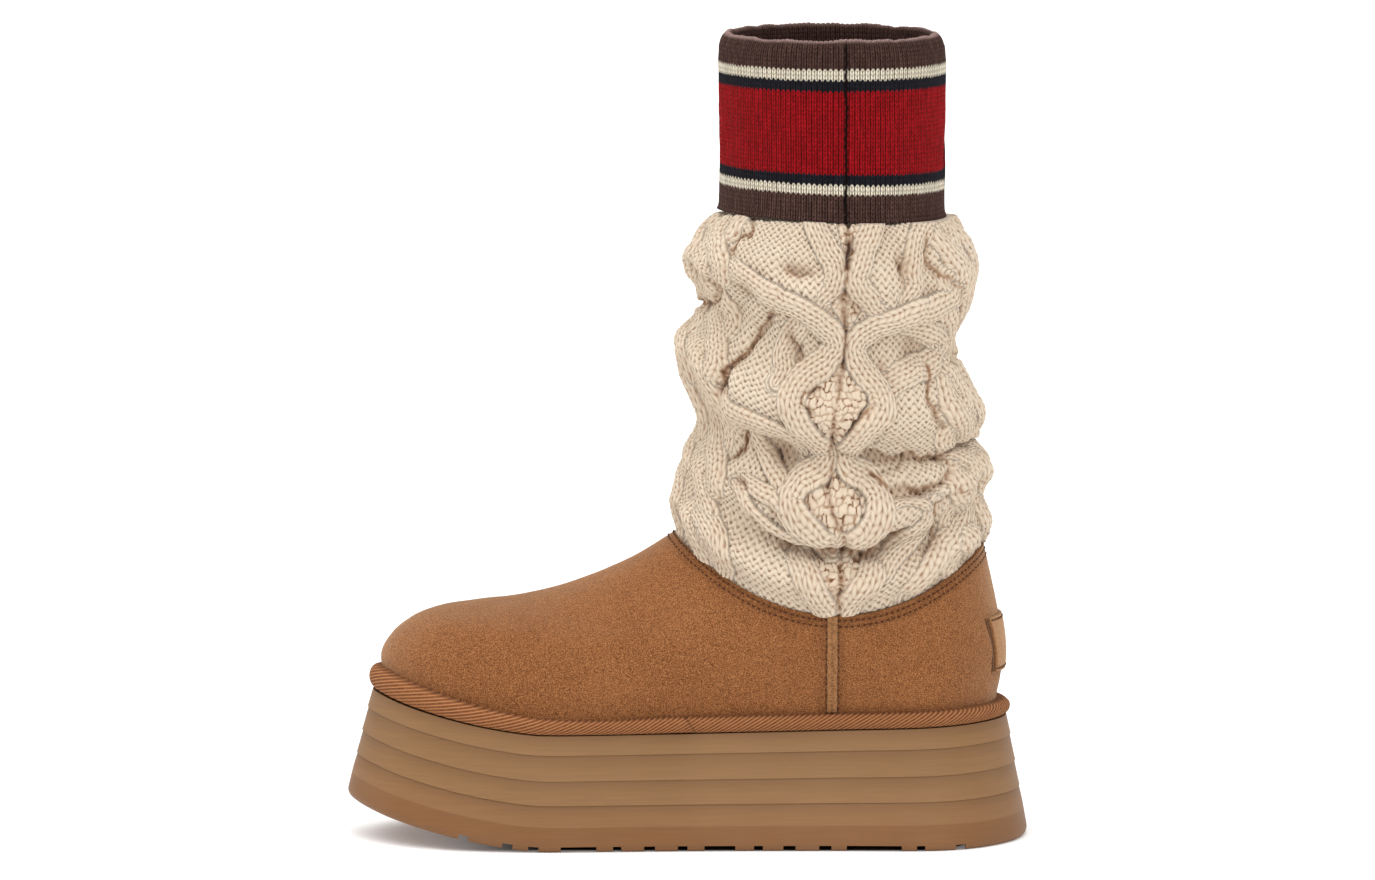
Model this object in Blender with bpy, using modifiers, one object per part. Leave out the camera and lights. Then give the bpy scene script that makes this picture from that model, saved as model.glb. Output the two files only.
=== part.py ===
"""Platform boot: a suede foot on a stepped platform sole, with a slouched cable-knit shaft and a striped rib cuff.

It is a right boot. The toe points to -X, the medial side faces -Y and +Z is up. The sole stands on Z = 0, and the
origin is under the middle of the sole's length. All sizes are in metres.
"""

import math

import bmesh
import bpy
import numpy as np

# Platform sole
SOLE_LENGTH = 0.2728
SOLE_WIDTH = 0.1120
PLATFORM_HEIGHT = 0.0457
HEEL_LIFT = 0.0027
TOE_SPRING = 0.0160
SPRING_RUN = 0.0784
TOE_FLARE = 0.0102
HEEL_FLARE = 0.0084
SIDE_FLARE = 0.0110
OUTSOLE_HEIGHT = 0.0098
EDGE_RADIUS = 0.0032
BAND_STEP = 0.0008
TREAD_DEPTH = 0.0023

# Binding tape and insole
TAPE_HEIGHT = 0.0068
TAPE_TOE_RISE = 0.0034
TAPE_WIDTH = 0.0052
TAPE_OVERHANG = 0.0009
INSOLE_THICKNESS = 0.0060

# Suede upper
UPPER_WALL = 0.0030
UPPER_BULGE = 0.0030
ANKLE_FROM_HEEL = 0.0707
ANKLE_DEPTH = 0.1218
ANKLE_WIDTH = 0.0890
THROAT_RISE = 0.0769
SIDE_RISE = 0.0480
BACK_RISE = 0.0717
SEAM_WIDTH = 0.0036
SEAM_RAISE = 0.0013
LABEL_WIDTH = 0.0390
LABEL_HEIGHT = 0.0225
LABEL_FROM_PLATFORM = 0.0185
LABEL_THICKNESS = 0.0015

# Knit shaft and cuff
BOOT_HEIGHT = 0.3210
CUFF_HEIGHT = 0.0717
CUFF_DEPTH = 0.0892
CUFF_WIDTH = 0.0890
CUFF_WALL = 0.0050
CUFF_DROP = 0.0016
KNIT_WALL = 0.0040
KNIT_TUCK = 0.0080
ROLL_DEPTH = 0.0100

GAP = 0.0003
HALF_STATIONS = 30
LEG_STATIONS = 22

HEEL_X = SOLE_LENGTH / 2
TOE_X = -SOLE_LENGTH / 2
PLATFORM_HEEL_X = HEEL_X - HEEL_FLARE
PLATFORM_TOE_X = TOE_X + TOE_FLARE
SPRING_X = TOE_X + SPRING_RUN
ANKLE_X = PLATFORM_HEEL_X - ANKLE_FROM_HEEL

# Plan of the sole from heel to toe: share of the length, shares of half the width to the medial and lateral side, and
# how far the platform leans in there from the ground to its top, as a share of SIDE_FLARE
SOLE_PLAN = (
    # along, medial, lateral, flare
    (0.000, 0.00, 0.00, 0.00),
    (0.028, 0.52, 0.52, 0.62),
    (0.120, 0.90, 0.91, 1.00),
    (0.290, 0.92, 0.94, 0.92),
    (0.470, 0.93, 0.99, 0.70),
    (0.630, 0.97, 1.00, 0.52),
    (0.720, 0.99, 0.97, 0.48),
    (0.850, 0.91, 0.79, 0.50),
    (0.950, 0.61, 0.45, 0.35),
    (1.000, 0.08, -0.08, 0.00),
)

# Side of the platform from its foot up: share of the height, and set-in of the wall as a share of BAND_STEP
SIDE_BANDS = (
    # up, set_in
    (0.000, 0.10),
    (0.225, 0.85),
    (0.250, -0.30),
    (0.490, 0.85),
    (0.515, -0.30),
    (0.775, 0.55),
    (0.800, -0.10),
    (1.000, 0.60),
)

# Ribs of the upper from the feather edge to the topline. Run and rise are shares of the way between them, and bulge
# is a share of UPPER_BULGE. Each level has the form at the toe, at the side and at the heel.
UPPER_RIBS = (
    # toe run, rise, bulge; side run, rise, bulge; heel run, rise, bulge
    (0.000, 0.000, 0.00, 0.00, 0.00, 0.00, 0.00, 0.00, 0.00),
    (0.000, 0.115, 0.05, 0.02, 0.11, 0.05, 0.00, 0.10, 0.05),
    (0.003, 0.226, 0.35, 0.06, 0.22, 0.45, 0.00, 0.20, 0.55),
    (0.027, 0.325, 0.35, 0.13, 0.33, 0.80, 0.02, 0.30, 0.90),
    (0.072, 0.425, 0.20, 0.22, 0.44, 1.00, 0.08, 0.41, 1.00),
    (0.155, 0.510, 0.10, 0.34, 0.54, 1.00, 0.18, 0.52, 0.90),
    (0.310, 0.556, 0.00, 0.48, 0.64, 0.85, 0.32, 0.62, 0.70),
    (0.500, 0.603, 0.00, 0.62, 0.73, 0.65, 0.48, 0.72, 0.50),
    (0.690, 0.703, 0.00, 0.75, 0.82, 0.42, 0.65, 0.82, 0.30),
    (0.855, 0.835, 0.00, 0.88, 0.91, 0.20, 0.83, 0.91, 0.12),
    (1.000, 1.000, 0.00, 1.00, 1.00, 0.00, 1.00, 1.00, 0.00),
)

# Slouched rolls and creases of the knit shaft from the topline to the cuff. Up is a share of the height there, and
# out is a share of ROLL_DEPTH beyond the straight leg, at the front, the medial side, the back and the lateral side.
KNIT_ROLLS = (
    # front up, out; medial up, out; back up, out; lateral up, out
    (0.090, 0.58, 0.075, 0.62, 0.074, 0.25, 0.080, 0.58),
    (0.160, 0.38, 0.165, -0.10, 0.150, -0.08, 0.170, 0.05),
    (0.235, 0.22, 0.265, 0.70, 0.240, 0.46, 0.260, 0.66),
    (0.346, -0.15, 0.405, -0.15, 0.315, -0.12, 0.380, -0.12),
    (0.570, 1.07, 0.510, 0.85, 0.420, 0.46, 0.500, 0.82),
    (0.697, 0.28, 0.680, 0.25, 0.600, -0.34, 0.660, 0.05),
    (0.850, 1.20, 0.845, 0.95, 0.820, 0.92, 0.840, 1.00),
    (0.985, 0.30, 0.985, 0.28, 0.985, 0.25, 0.985, 0.28),
)

# Section of the rib cuff, up the outside, over the fold and down the inside: up is a share of CUFF_HEIGHT, and in is
# a share of CUFF_WALL from the outer face
CUFF_SECTION = (
    # up, inward
    (0.000, -0.12),
    (0.070, 0.00),
    (0.500, 0.00),
    (0.880, 0.00),
    (0.940, 0.09),
    (0.979, 0.30),
    (1.000, 0.64),
    (0.985, 0.94),
    (0.930, 1.02),
    (0.500, 1.00),
    (0.000, 1.00),
)

# Grooves of the tread: place as a share of the length from the heel, width and reach as shares of the length and of
# the sole's width. A reach of 1 runs across the sole, and a shorter one is a pair of notches in its edges.
TREAD_GROOVES = (
    # along, width, reach
    (0.103, 0.014, 1.00),
    (0.161, 0.012, 1.00),
    (0.229, 0.080, 0.20),
    (0.300, 0.018, 1.00),
    (0.352, 0.018, 1.00),
    (0.397, 0.013, 1.00),
    (0.453, 0.045, 0.20),
    (0.507, 0.014, 1.00),
    (0.555, 0.016, 1.00),
    (0.602, 0.012, 1.00),
    (0.658, 0.052, 0.20),
    (0.724, 0.015, 1.00),
    (0.762, 0.015, 1.00),
    (0.826, 0.014, 1.00),
)


def clear_scene():
    for obj in list(bpy.data.objects):
        bpy.data.objects.remove(obj)


def material(name, colour, roughness):
    made = bpy.data.materials.new(name)
    made.use_nodes = True
    shader = made.node_tree.nodes["Principled BSDF"]
    shader.inputs["Base Color"].default_value = (*colour, 1.0)
    shader.inputs["Roughness"].default_value = roughness
    shader.inputs["Metallic"].default_value = 0.0
    made.diffuse_color = (*colour, 1.0)
    return made


def smooth_step(low, high, value):
    share = np.clip((value - low) / (high - low), 0.0, 1.0)
    return share * share * (3.0 - 2.0 * share)


def spline(rows, place):
    """Catmull-Rom curve through rows, at place from 0 to len(rows) - 1, for one place or an array of them."""
    rows = np.asarray(rows, float)
    place = np.clip(np.asarray(place, float), 0.0, len(rows) - 1)
    start = np.minimum(place.astype(int), len(rows) - 2)
    t = (place - start)[..., None]
    before = rows[np.maximum(start - 1, 0)]
    here = rows[start]
    after = rows[start + 1]
    beyond = rows[np.minimum(start + 2, len(rows) - 1)]
    slope_here = (after - before) / 2
    slope_after = (beyond - here) / 2
    return (
        here * (1 + 2 * t) * (1 - t) ** 2
        + slope_here * t * (1 - t) ** 2
        + after * t * t * (3 - 2 * t)
        + slope_after * t * t * (t - 1)
    )


def half_plan(up, side):
    """Dense points of one side of the platform's plan at a share of its height, from heel to toe, and their lengths."""
    def row_on(which, row):
        reach = SOLE_WIDTH / 2 * row[1 if which < 0 else 2] - SIDE_FLARE * row[3] * up
        return row[0], which * reach

    rows = [row_on(-side, SOLE_PLAN[1])]
    rows += [row_on(side, row) for row in SOLE_PLAN]
    rows.append(row_on(-side, SOLE_PLAN[-2]))
    dense = spline(rows, np.linspace(1.0, len(rows) - 2.0, 40 * len(SOLE_PLAN)))
    length = SOLE_LENGTH - (TOE_FLARE + HEEL_FLARE) * up
    points = np.column_stack((HEEL_X - HEEL_FLARE * up - length * dense[:, 0], dense[:, 1]))
    steps = np.linalg.norm(np.diff(points, axis=0), axis=1)
    return points, np.concatenate(([0.0], np.cumsum(steps)))


EVEN = np.linspace(0.0, 1.0, HALF_STATIONS + 1)
EVEN_LEG = np.linspace(0.0, 1.0, LEG_STATIONS + 1)


def platform_loop(up, shares=EVEN, inset=0.0):
    """Closed plan outline of the platform at a share of its height: heel, medial side, toe, lateral side."""
    sides = []
    for side in (-1, 1):
        points, along = half_plan(up, side)
        ahead = np.gradient(points, axis=0)
        outward = side * np.column_stack((ahead[:, 1], -ahead[:, 0]))
        outward /= np.linalg.norm(outward, axis=1)[:, None]
        moved = points - inset * outward
        at = np.asarray(shares) * along[-1]
        sides.append(np.column_stack([np.interp(at, along, moved[:, k]) for k in (0, 1)]))
    medial, lateral = sides
    tips = (medial[0] + lateral[0]) / 2, (medial[-1] + lateral[-1]) / 2
    return np.vstack((tips[0], medial[1:-1], tips[1], lateral[-2:0:-1]))


def outward_of(loop):
    """Unit normals of a closed plan outline that runs from the heel along the medial side."""
    ahead = np.roll(loop, -1, axis=0) - np.roll(loop, 1, axis=0)
    normal = np.column_stack((ahead[:, 1], -ahead[:, 0]))
    normal /= np.linalg.norm(normal, axis=1)[:, None]
    return normal if normal[0, 0] > 0 else -normal


def spring(x):
    """Rise of the sole towards the toe."""
    share = np.maximum(0.0, (SPRING_X - x) / SPRING_RUN)
    return TOE_SPRING * share**1.4


def platform_top(x):
    heel_share = np.clip((x + SOLE_LENGTH / 6) / (SOLE_LENGTH * 2 / 3), 0.0, 1.0)
    return PLATFORM_HEIGHT + spring(x) + HEEL_LIFT * heel_share**2


def platform_ring(up, inset):
    loop = platform_loop(up, inset=inset)
    ground = spring(loop[:, 0])
    height = platform_top(loop[:, 0]) - ground
    return np.column_stack((loop, ground + up * height))


def add_object(name, vertices, faces, finish, collection):
    mesh = bpy.data.meshes.new(name)
    mesh.from_pydata([tuple(map(float, v)) for v in vertices], [], faces)
    work = bmesh.new()
    work.from_mesh(mesh)
    bmesh.ops.recalc_face_normals(work, faces=work.faces)
    work.to_mesh(mesh)
    work.free()
    mesh.materials.append(finish)
    mesh.shade_smooth()
    mesh.set_sharp_from_angle(angle=math.radians(35))
    made = bpy.data.objects.new(name, mesh)
    collection.objects.link(made)
    return made


def annulus(name, rings, finish, collection):
    """A closed ring-shaped solid: rings run round the foot, and the last one joins the first one."""
    rings = np.asarray(rings)
    rows, around = rings.shape[:2]
    faces = [
        (r * around + c, r * around + (c + 1) % around,
         (r + 1) % rows * around + (c + 1) % around, (r + 1) % rows * around + c)
        for r in range(rows)
        for c in range(around)
    ]
    return add_object(name, rings.reshape(-1, 3), faces, finish, collection)


def cross_strips(first, around):
    """Faces that close a ring which runs heel, medial side, toe, lateral side, in strips across the foot."""
    half = around // 2
    faces = [(first, first + 1, first + around - 1)]
    faces += [
        (first + i, first + i + 1, first + around - i - 1, first + around - i)
        for i in range(1, half - 1)
    ]
    faces.append((first + half - 1, first + half, first + half + 1))
    return faces


def stack(name, rings, finish, collection):
    """A solid through rings, closed below the first one and above the last one."""
    rings = np.asarray(rings)
    rows, around = rings.shape[:2]
    faces = cross_strips(0, around) + cross_strips((rows - 1) * around, around)
    faces += [
        (r * around + c, r * around + (c + 1) % around, (r + 1) * around + (c + 1) % around, (r + 1) * around + c)
        for r in range(rows - 1)
        for c in range(around)
    ]
    return add_object(name, rings.reshape(-1, 3), faces, finish, collection)


def normals_of(grid):
    """Unit normals of a grid of rings, pointing away from the middle of each ring."""
    around = np.roll(grid, -1, axis=1) - np.roll(grid, 1, axis=1)
    upward = np.gradient(grid, axis=0)
    normal = np.cross(around, upward)
    normal /= np.linalg.norm(normal, axis=2)[..., None]
    heel = normal[0, 0]
    return normal if heel[0] > 0 else -normal


def foot_shares(stations):
    """Share of the feather edge's length, from heel to toe, for stations from 0 to 1."""
    return 0.6 * stations + 0.4 * stations**2


def ankle_angles(stations):
    """Angle round the ankle that belongs to a station: 0 at the back and pi at the front."""
    feather = foot_shares(stations)
    near, grow = 0.32, 0.68
    return math.pi * (np.sqrt(near**2 + 4 * grow * feather) - near) / (2 * grow)


def both_sides(half):
    """Values for the whole loop from those of one side, heel to toe, with the sign of the side."""
    values = np.concatenate((half, half[-2:0:-1]))
    signs = np.concatenate((-np.ones(len(half)), np.ones(len(half) - 2)))
    return values, signs


def topline(angles, signs):
    """The upper's top edge, high at the throat and the back and low at the sides."""
    mean_end = (THROAT_RISE + BACK_RISE) / 2
    level = (mean_end + SIDE_RISE) / 2
    dip = (mean_end - SIDE_RISE) / 2
    lean = (BACK_RISE - THROAT_RISE) / 2
    z = PLATFORM_HEIGHT + level + lean * np.cos(angles) + dip * np.cos(2 * angles)
    x = ANKLE_X + ANKLE_DEPTH / 2 * np.cos(angles)
    y = signs * ANKLE_WIDTH / 2 * np.sin(angles)
    return np.column_stack((x, y, z))


def feather_inset():
    return TAPE_WIDTH - TAPE_OVERHANG + GAP


def upper_rings(levels, stations=EVEN):
    """Outer face of the suede upper: one ring for each level, which is a place in UPPER_RIBS."""
    station, signs = both_sides(stations)
    loop = platform_loop(1.0, foot_shares(stations), feather_inset())
    outward = outward_of(loop)
    feather = np.column_stack((loop, platform_top(loop[:, 0]) + GAP))
    top = topline(*both_sides(ankle_angles(stations)))
    toe = smooth_step(0.50, 0.86, station)[:, None]
    heel = (1.0 - smooth_step(0.0, 0.36, station))[:, None]
    side = 1.0 - toe - heel
    rings = []
    for form in spline(UPPER_RIBS, np.asarray(levels, float)):
        run, rise, bulge = (toe * form[0:3] + side * form[3:6] + heel * form[6:9]).T
        way = top - feather
        ring = feather + way * np.column_stack((run, run, rise))
        ring[:, :2] += outward * (bulge * UPPER_BULGE)[:, None]
        rings.append(ring)
    return np.array(rings)


UPPER_LEVELS = (0, 1, 2, 3, 4, 5, 5.5, 6, 7, 8, 9, 10)


def make_upper(finish, collection):
    outer = upper_rings(UPPER_LEVELS)
    inner = outer - UPPER_WALL * normals_of(outer)
    inner[0, :, 2] = outer[0, :, 2]
    return annulus("upper", np.concatenate((outer, inner[::-1])), finish, collection)


def leg_weights(angles, signs):
    """Shares of the front, medial, back and lateral columns at each angle, which add up to 1."""
    ahead, across = np.cos(angles), np.sin(angles)
    front = np.where(ahead < 0, ahead**2, 0.0)
    back = np.where(ahead > 0, ahead**2, 0.0)
    medial = np.where(signs < 0, across**2, 0.0)
    lateral = np.where(signs > 0, across**2, 0.0)
    return front, medial, back, lateral


def cuff_ring(up, inward, angles, signs):
    """A ring of the cuff, which leans a little so that its lower edge drops towards the back."""
    radius_x = CUFF_DEPTH / 2 - inward
    radius_y = CUFF_WIDTH / 2 - inward
    z = BOOT_HEIGHT - CUFF_HEIGHT * (1.0 - up) - CUFF_DROP * (1.0 - up) * np.cos(angles)
    x = ANKLE_X + radius_x * np.cos(angles)
    return np.column_stack((x, signs * radius_y * np.sin(angles), z))


def knit_rings(steps):
    """Outer face of the knit shaft, from its tuck inside the suede to its tuck inside the cuff, in steps a roll."""
    angles, signs = both_sides(ankle_angles(EVEN_LEG))
    weights = leg_weights(angles, signs)
    low = topline(angles, signs)
    high = cuff_ring(0.0, 0.0, angles, signs)
    leg_out = np.column_stack((np.cos(angles), signs * np.sin(angles)))
    suede = upper_rings(UPPER_LEVELS, EVEN_LEG)
    behind_suede = (suede - (UPPER_WALL + GAP) * normals_of(suede))[-2:]
    onward = behind_suede[-1] - behind_suede[-2]
    onward /= np.linalg.norm(onward, axis=1)[:, None]
    rows = [behind_suede[0], behind_suede[-1], behind_suede[-1] + 5 * GAP * onward]
    for form in KNIT_ROLLS:
        up = sum(w * form[2 * k] for k, w in enumerate(weights))
        out = sum(w * form[2 * k + 1] for k, w in enumerate(weights))
        ring = low + (high - low) * up[:, None]
        ring[:, :2] += leg_out * (out * ROLL_DEPTH)[:, None]
        rows.append(ring)
    for share in (-0.014, 0.03, KNIT_TUCK / CUFF_HEIGHT):
        rows.append(cuff_ring(share, CUFF_WALL + GAP, angles, signs))
    rows = np.array(rows)
    places = np.concatenate(([0.0, 1.0], np.linspace(2.0, 11.0, 9 * steps + 1), [12.0, 13.0]))
    return np.array([
        spline(rows[:, c], places) for c in range(rows.shape[1])
    ]).transpose(1, 0, 2)


def make_knit_shaft(finish, collection):
    outer = knit_rings(3)
    coarse = knit_rings(2)
    inner = coarse - KNIT_WALL * normals_of(coarse)
    return annulus("knit_shaft", np.concatenate((outer, inner[::-1])), finish, collection)


def make_cuff(finish, collection):
    angles, signs = both_sides(ankle_angles(EVEN_LEG))
    rings = [cuff_ring(up, inward * CUFF_WALL, angles, signs) for up, inward in CUFF_SECTION]
    return annulus("striped_cuff", rings, finish, collection)


def make_midsole(finish, collection):
    """The stepped foam platform, from the outsole's top face up."""
    foot = OUTSOLE_HEIGHT / PLATFORM_HEIGHT
    rings = []
    for up, set_in in SIDE_BANDS:
        share = foot + (1.0 - foot) * up
        rings.append(platform_ring(share, set_in * BAND_STEP))
    rings[0][:, 2] += GAP
    return stack("midsole", rings, finish, collection)


def make_outsole(finish, collection, cutters):
    """The rubber tread under the platform, with a rounded edge and grooves cut across it."""
    corner = 1.0 - math.cos(math.radians(45))
    foot = EDGE_RADIUS / PLATFORM_HEIGHT
    rings = [
        platform_ring(0.0, EDGE_RADIUS),
        platform_ring(foot * corner, EDGE_RADIUS * corner),
        platform_ring(foot, 0.0),
        platform_ring(OUTSOLE_HEIGHT / PLATFORM_HEIGHT, 0.0),
    ]
    sole = stack("outsole", rings, finish, collection)
    cutter_mesh = bmesh.new()
    for along, width, reach in TREAD_GROOVES:
        x = HEEL_X - SOLE_LENGTH * along
        centres = (0.0,) if reach == 1.0 else (-1.0, 1.0)
        for side in centres:
            add_groove(cutter_mesh, x, side, width * SOLE_LENGTH, reach * SOLE_WIDTH)
    mesh = bpy.data.meshes.new("tread_cutter")
    cutter_mesh.to_mesh(mesh)
    cutter_mesh.free()
    cutter = bpy.data.objects.new("tread_cutter", mesh)
    cutter.hide_render = True
    cutter.display_type = "WIRE"
    cutters.objects.link(cutter)
    cut = sole.modifiers.new("tread", "BOOLEAN")
    cut.operation = "DIFFERENCE"
    cut.object = cutter
    return sole


def add_groove(mesh, x, side, width, reach):
    """A box that cuts one groove, turned to the sole's slope. side 0 runs across, and -1 or 1 notches that edge."""
    slope = math.atan2(float(spring(x - width) - spring(x + width)), -2 * width)
    depth = 2 * SPRING_RUN / 10
    box = bmesh.ops.create_cube(mesh, size=1.0)["verts"]
    length = 2 * SOLE_WIDTH if side == 0 else 2 * reach
    edge = side * SOLE_WIDTH / 2
    turn = -math.pi - slope
    for vertex in box:
        px, py, pz = vertex.co
        px *= width
        pz = (pz - 0.5) * depth + TREAD_DEPTH
        vertex.co = (
            x + px * math.cos(turn) + pz * math.sin(turn),
            py * length + edge,
            float(spring(x)) - px * math.sin(turn) + pz * math.cos(turn),
        )


def make_binding(finish, collection):
    """The rounded tape round the foot of the upper. Its inner face follows the suede, and its outer face overhangs."""
    inner_low, inner_high = upper_rings((0.0, 1.0))
    loop = platform_loop(1.0, foot_shares(EVEN))
    outward = outward_of(loop)
    base = platform_top(loop[:, 0]) + GAP
    height = TAPE_HEIGHT + TAPE_TOE_RISE * smooth_step(0.72, 1.0, both_sides(EVEN)[0])

    def ring(share_out, share_up):
        z = base + height * share_up
        rise = (z - inner_low[:, 2]) / (inner_high[:, 2] - inner_low[:, 2])
        inner = inner_low + (inner_high - inner_low) * rise[:, None]
        inner = inner[:, :2] + 1.7 * GAP * outward
        outer = loop + TAPE_OVERHANG * outward
        flat = inner + (outer - inner) * share_out
        return np.column_stack((flat, z))

    section = ((0.0, 0.0), (0.72, 0.0), (0.94, 0.20), (1.0, 0.48), (0.92, 0.78), (0.60, 0.98), (0.0, 0.94))
    return annulus("binding_tape", [ring(*place) for place in section], finish, collection)


def make_insole(finish, collection):
    inset = feather_inset() + UPPER_WALL + 2 * GAP
    loop = platform_loop(1.0, inset=inset)
    base = platform_top(loop[:, 0]) + GAP
    rings = [
        np.column_stack((loop, base)),
        np.column_stack((loop, base + INSOLE_THICKNESS)),
    ]
    return stack("insole", rings, finish, collection)


def patch(name, grid, normals, thickness, finish, collection):
    """A thin plate on the upper: grid lies on the suede, and the plate stands GAP off it."""
    grid = grid + normals * GAP
    rows, columns = grid.shape[:2]
    faces = [
        (r * columns + c, r * columns + c + 1, (r + 1) * columns + c + 1, (r + 1) * columns + c)
        for r in range(rows - 1)
        for c in range(columns - 1)
    ]
    made = add_object(name, grid.reshape(-1, 3), faces, finish, collection)
    facing = sum((made.data.polygons[0].normal[k] * normals[0, 0][k] for k in range(3)))
    wall = made.modifiers.new("thickness", "SOLIDIFY")
    wall.thickness = thickness
    wall.offset = 1.0 if facing > 0 else -1.0
    return made


def make_side_seam(name, sign, finish, collection):
    """The raised seam down one side, from under the topline to the tape."""
    levels = np.linspace(1.0, 9.6, 9)
    rings = upper_rings(levels)
    normals = normals_of(rings)
    half = HALF_STATIONS + 1
    chosen = np.arange(half) if sign < 0 else np.concatenate(([0], np.arange(2 * HALF_STATIONS - 1, half - 2, -1)))
    floor = platform_top(ANKLE_X) + TAPE_HEIGHT + 2 * GAP
    grid, facing = [], []
    for ring, normal in zip(rings[:, chosen], normals[:, chosen]):
        across = [
            [np.interp(-x, -ring[:, 0], ring[:, k]) for k in range(3)]
            for x in (ANKLE_X - SEAM_WIDTH / 2, ANKLE_X, ANKLE_X + SEAM_WIDTH / 2)
        ]
        grid.append(across)
        facing.append([[np.interp(-ANKLE_X, -ring[:, 0], normal[:, k]) for k in range(3)]] * 3)
    grid, facing = np.array(grid), np.array(facing)
    share = np.clip((floor - grid[0, :, 2]) / (grid[1, :, 2] - grid[0, :, 2]), 0.0, 0.9)
    grid[0] += (grid[1] - grid[0]) * share[:, None]
    return patch(name, grid, facing, SEAM_RAISE, finish, collection)


def make_label(finish, collection):
    """The plain patch on the back of the heel."""
    base = float(platform_top(PLATFORM_HEEL_X)) + LABEL_FROM_PLATFORM
    fine = np.linspace(0.0, 0.4, 41)
    stations = np.concatenate((fine, np.linspace(0.45, 1.0, 12)))
    levels = np.linspace(1.0, 9.0, 33)
    rings = upper_rings(levels, stations)
    normals = normals_of(rings)
    heights = rings[:, 0, 2]
    middle = int(np.argmin(abs(heights - base - LABEL_HEIGHT / 2)))
    side = rings[middle, : len(fine), :2]
    arc = np.concatenate(([0.0], np.cumsum(np.linalg.norm(np.diff(side, axis=0), axis=1))))
    columns = np.interp(np.linspace(0.0, LABEL_WIDTH / 2, 6), arc, np.arange(len(fine)))
    rows = np.interp(np.linspace(base, base + LABEL_HEIGHT, 6), heights, np.arange(len(levels)))
    grid, facing = [], []
    for row in rows:
        line, line_facing = [], []
        for sign, column in [(1, c) for c in columns[:0:-1]] + [(-1, c) for c in columns]:
            line.append(between(rings, row, column, sign))
            line_facing.append(between(normals, row, column, sign))
        grid.append(line)
        facing.append(line_facing)
    return patch("heel_label", np.array(grid), np.array(facing), LABEL_THICKNESS, finish, collection)


def between(rings, row, column, sign):
    """A value between the entries of rings. column counts from the heel, to the side that sign names."""
    count = rings.shape[1]
    r, c = int(min(row, len(rings) - 2)), int(column)
    fr, fc = row - r, column - c
    near, far = (c, c + 1) if sign < 0 else (-c % count, -(c + 1) % count)
    low = rings[r, near] * (1 - fc) + rings[r, far] * fc
    high = rings[r + 1, near] * (1 - fc) + rings[r + 1, far] * fc
    return low * (1 - fr) + high * fr


def main():
    clear_scene()
    boot = bpy.data.collections.new("platform_boot")
    cutters = bpy.data.collections.new("cutters")
    for group in (boot, cutters):
        bpy.context.scene.collection.children.link(group)
    suede = material("suede", (0.42, 0.20, 0.085), 0.95)
    seam_suede = material("seam_suede", (0.50, 0.26, 0.12), 0.95)
    tape = material("twill_tape", (0.40, 0.19, 0.08), 0.85)
    foam = material("platform_foam", (0.40, 0.25, 0.13), 0.60)
    rubber = material("outsole_rubber", (0.40, 0.22, 0.11), 0.65)
    fleece = material("fleece", (0.62, 0.48, 0.32), 1.0)
    knit = material("cream_knit", (0.80, 0.68, 0.52), 0.95)
    rib = material("rib_knit", (0.40, 0.02, 0.02), 0.95)
    make_outsole(rubber, boot, cutters)
    make_midsole(foam, boot)
    make_insole(fleece, boot)
    make_binding(tape, boot)
    make_upper(suede, boot)
    make_side_seam("side_seam_medial", -1, seam_suede, boot)
    make_side_seam("side_seam_lateral", 1, seam_suede, boot)
    make_label(seam_suede, boot)
    make_knit_shaft(knit, boot)
    make_cuff(rib, boot)
    ground_point = bpy.data.objects.new("ground_point", None)
    boot.objects.link(ground_point)
    for piece in boot.objects:
        if piece.type == "MESH":
            piece.parent = ground_point


main()
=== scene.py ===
"""Looks of the platform boot: suede, twill tape, stepped foam sole, slouched cable knit, striped rib cuff.

The shapes repeat the part's own functions at a finer step. Lengths are in metres in the first tables
and in millimetres in the knit's tables, which are laid out in side view.
"""

import math

import bmesh
import bpy
import numpy as np
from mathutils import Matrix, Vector


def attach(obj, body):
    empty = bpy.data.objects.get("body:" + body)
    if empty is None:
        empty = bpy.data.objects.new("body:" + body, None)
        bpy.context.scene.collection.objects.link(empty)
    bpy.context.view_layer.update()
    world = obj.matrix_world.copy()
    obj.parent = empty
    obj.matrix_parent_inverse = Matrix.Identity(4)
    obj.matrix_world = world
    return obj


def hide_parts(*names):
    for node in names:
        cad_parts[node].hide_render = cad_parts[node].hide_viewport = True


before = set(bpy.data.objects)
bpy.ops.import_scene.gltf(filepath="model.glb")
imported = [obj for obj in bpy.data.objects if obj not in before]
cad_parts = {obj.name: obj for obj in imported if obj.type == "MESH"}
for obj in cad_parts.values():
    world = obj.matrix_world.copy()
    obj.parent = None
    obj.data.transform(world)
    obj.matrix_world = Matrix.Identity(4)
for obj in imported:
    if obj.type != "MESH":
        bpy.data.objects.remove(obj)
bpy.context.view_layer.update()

# Sizes shared with the solids
SOLE_LENGTH = 0.2728
SOLE_WIDTH = 0.1120
PLATFORM_HEIGHT = 0.0457
HEEL_LIFT = 0.0027
TOE_SPRING = 0.0160
SPRING_RUN = 0.0784
TOE_FLARE = 0.0102
HEEL_FLARE = 0.0084
SIDE_FLARE = 0.0110
OUTSOLE_HEIGHT = 0.0098
EDGE_RADIUS = 0.0032
TREAD_DEPTH = 0.0023
CUTTER_HEIGHT = 0.01568
TAPE_HEIGHT = 0.0068
TAPE_TOE_RISE = 0.0034
TAPE_WIDTH = 0.0052
TAPE_OVERHANG = 0.0009
INSOLE_THICKNESS = 0.0060
UPPER_WALL = 0.0030
UPPER_BULGE = 0.0030
ANKLE_FROM_HEEL = 0.0707
ANKLE_DEPTH = 0.1218
ANKLE_WIDTH = 0.0890
THROAT_RISE = 0.0769
SIDE_RISE = 0.0480
BACK_RISE = 0.0717
SEAM_WIDTH = 0.0036
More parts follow.
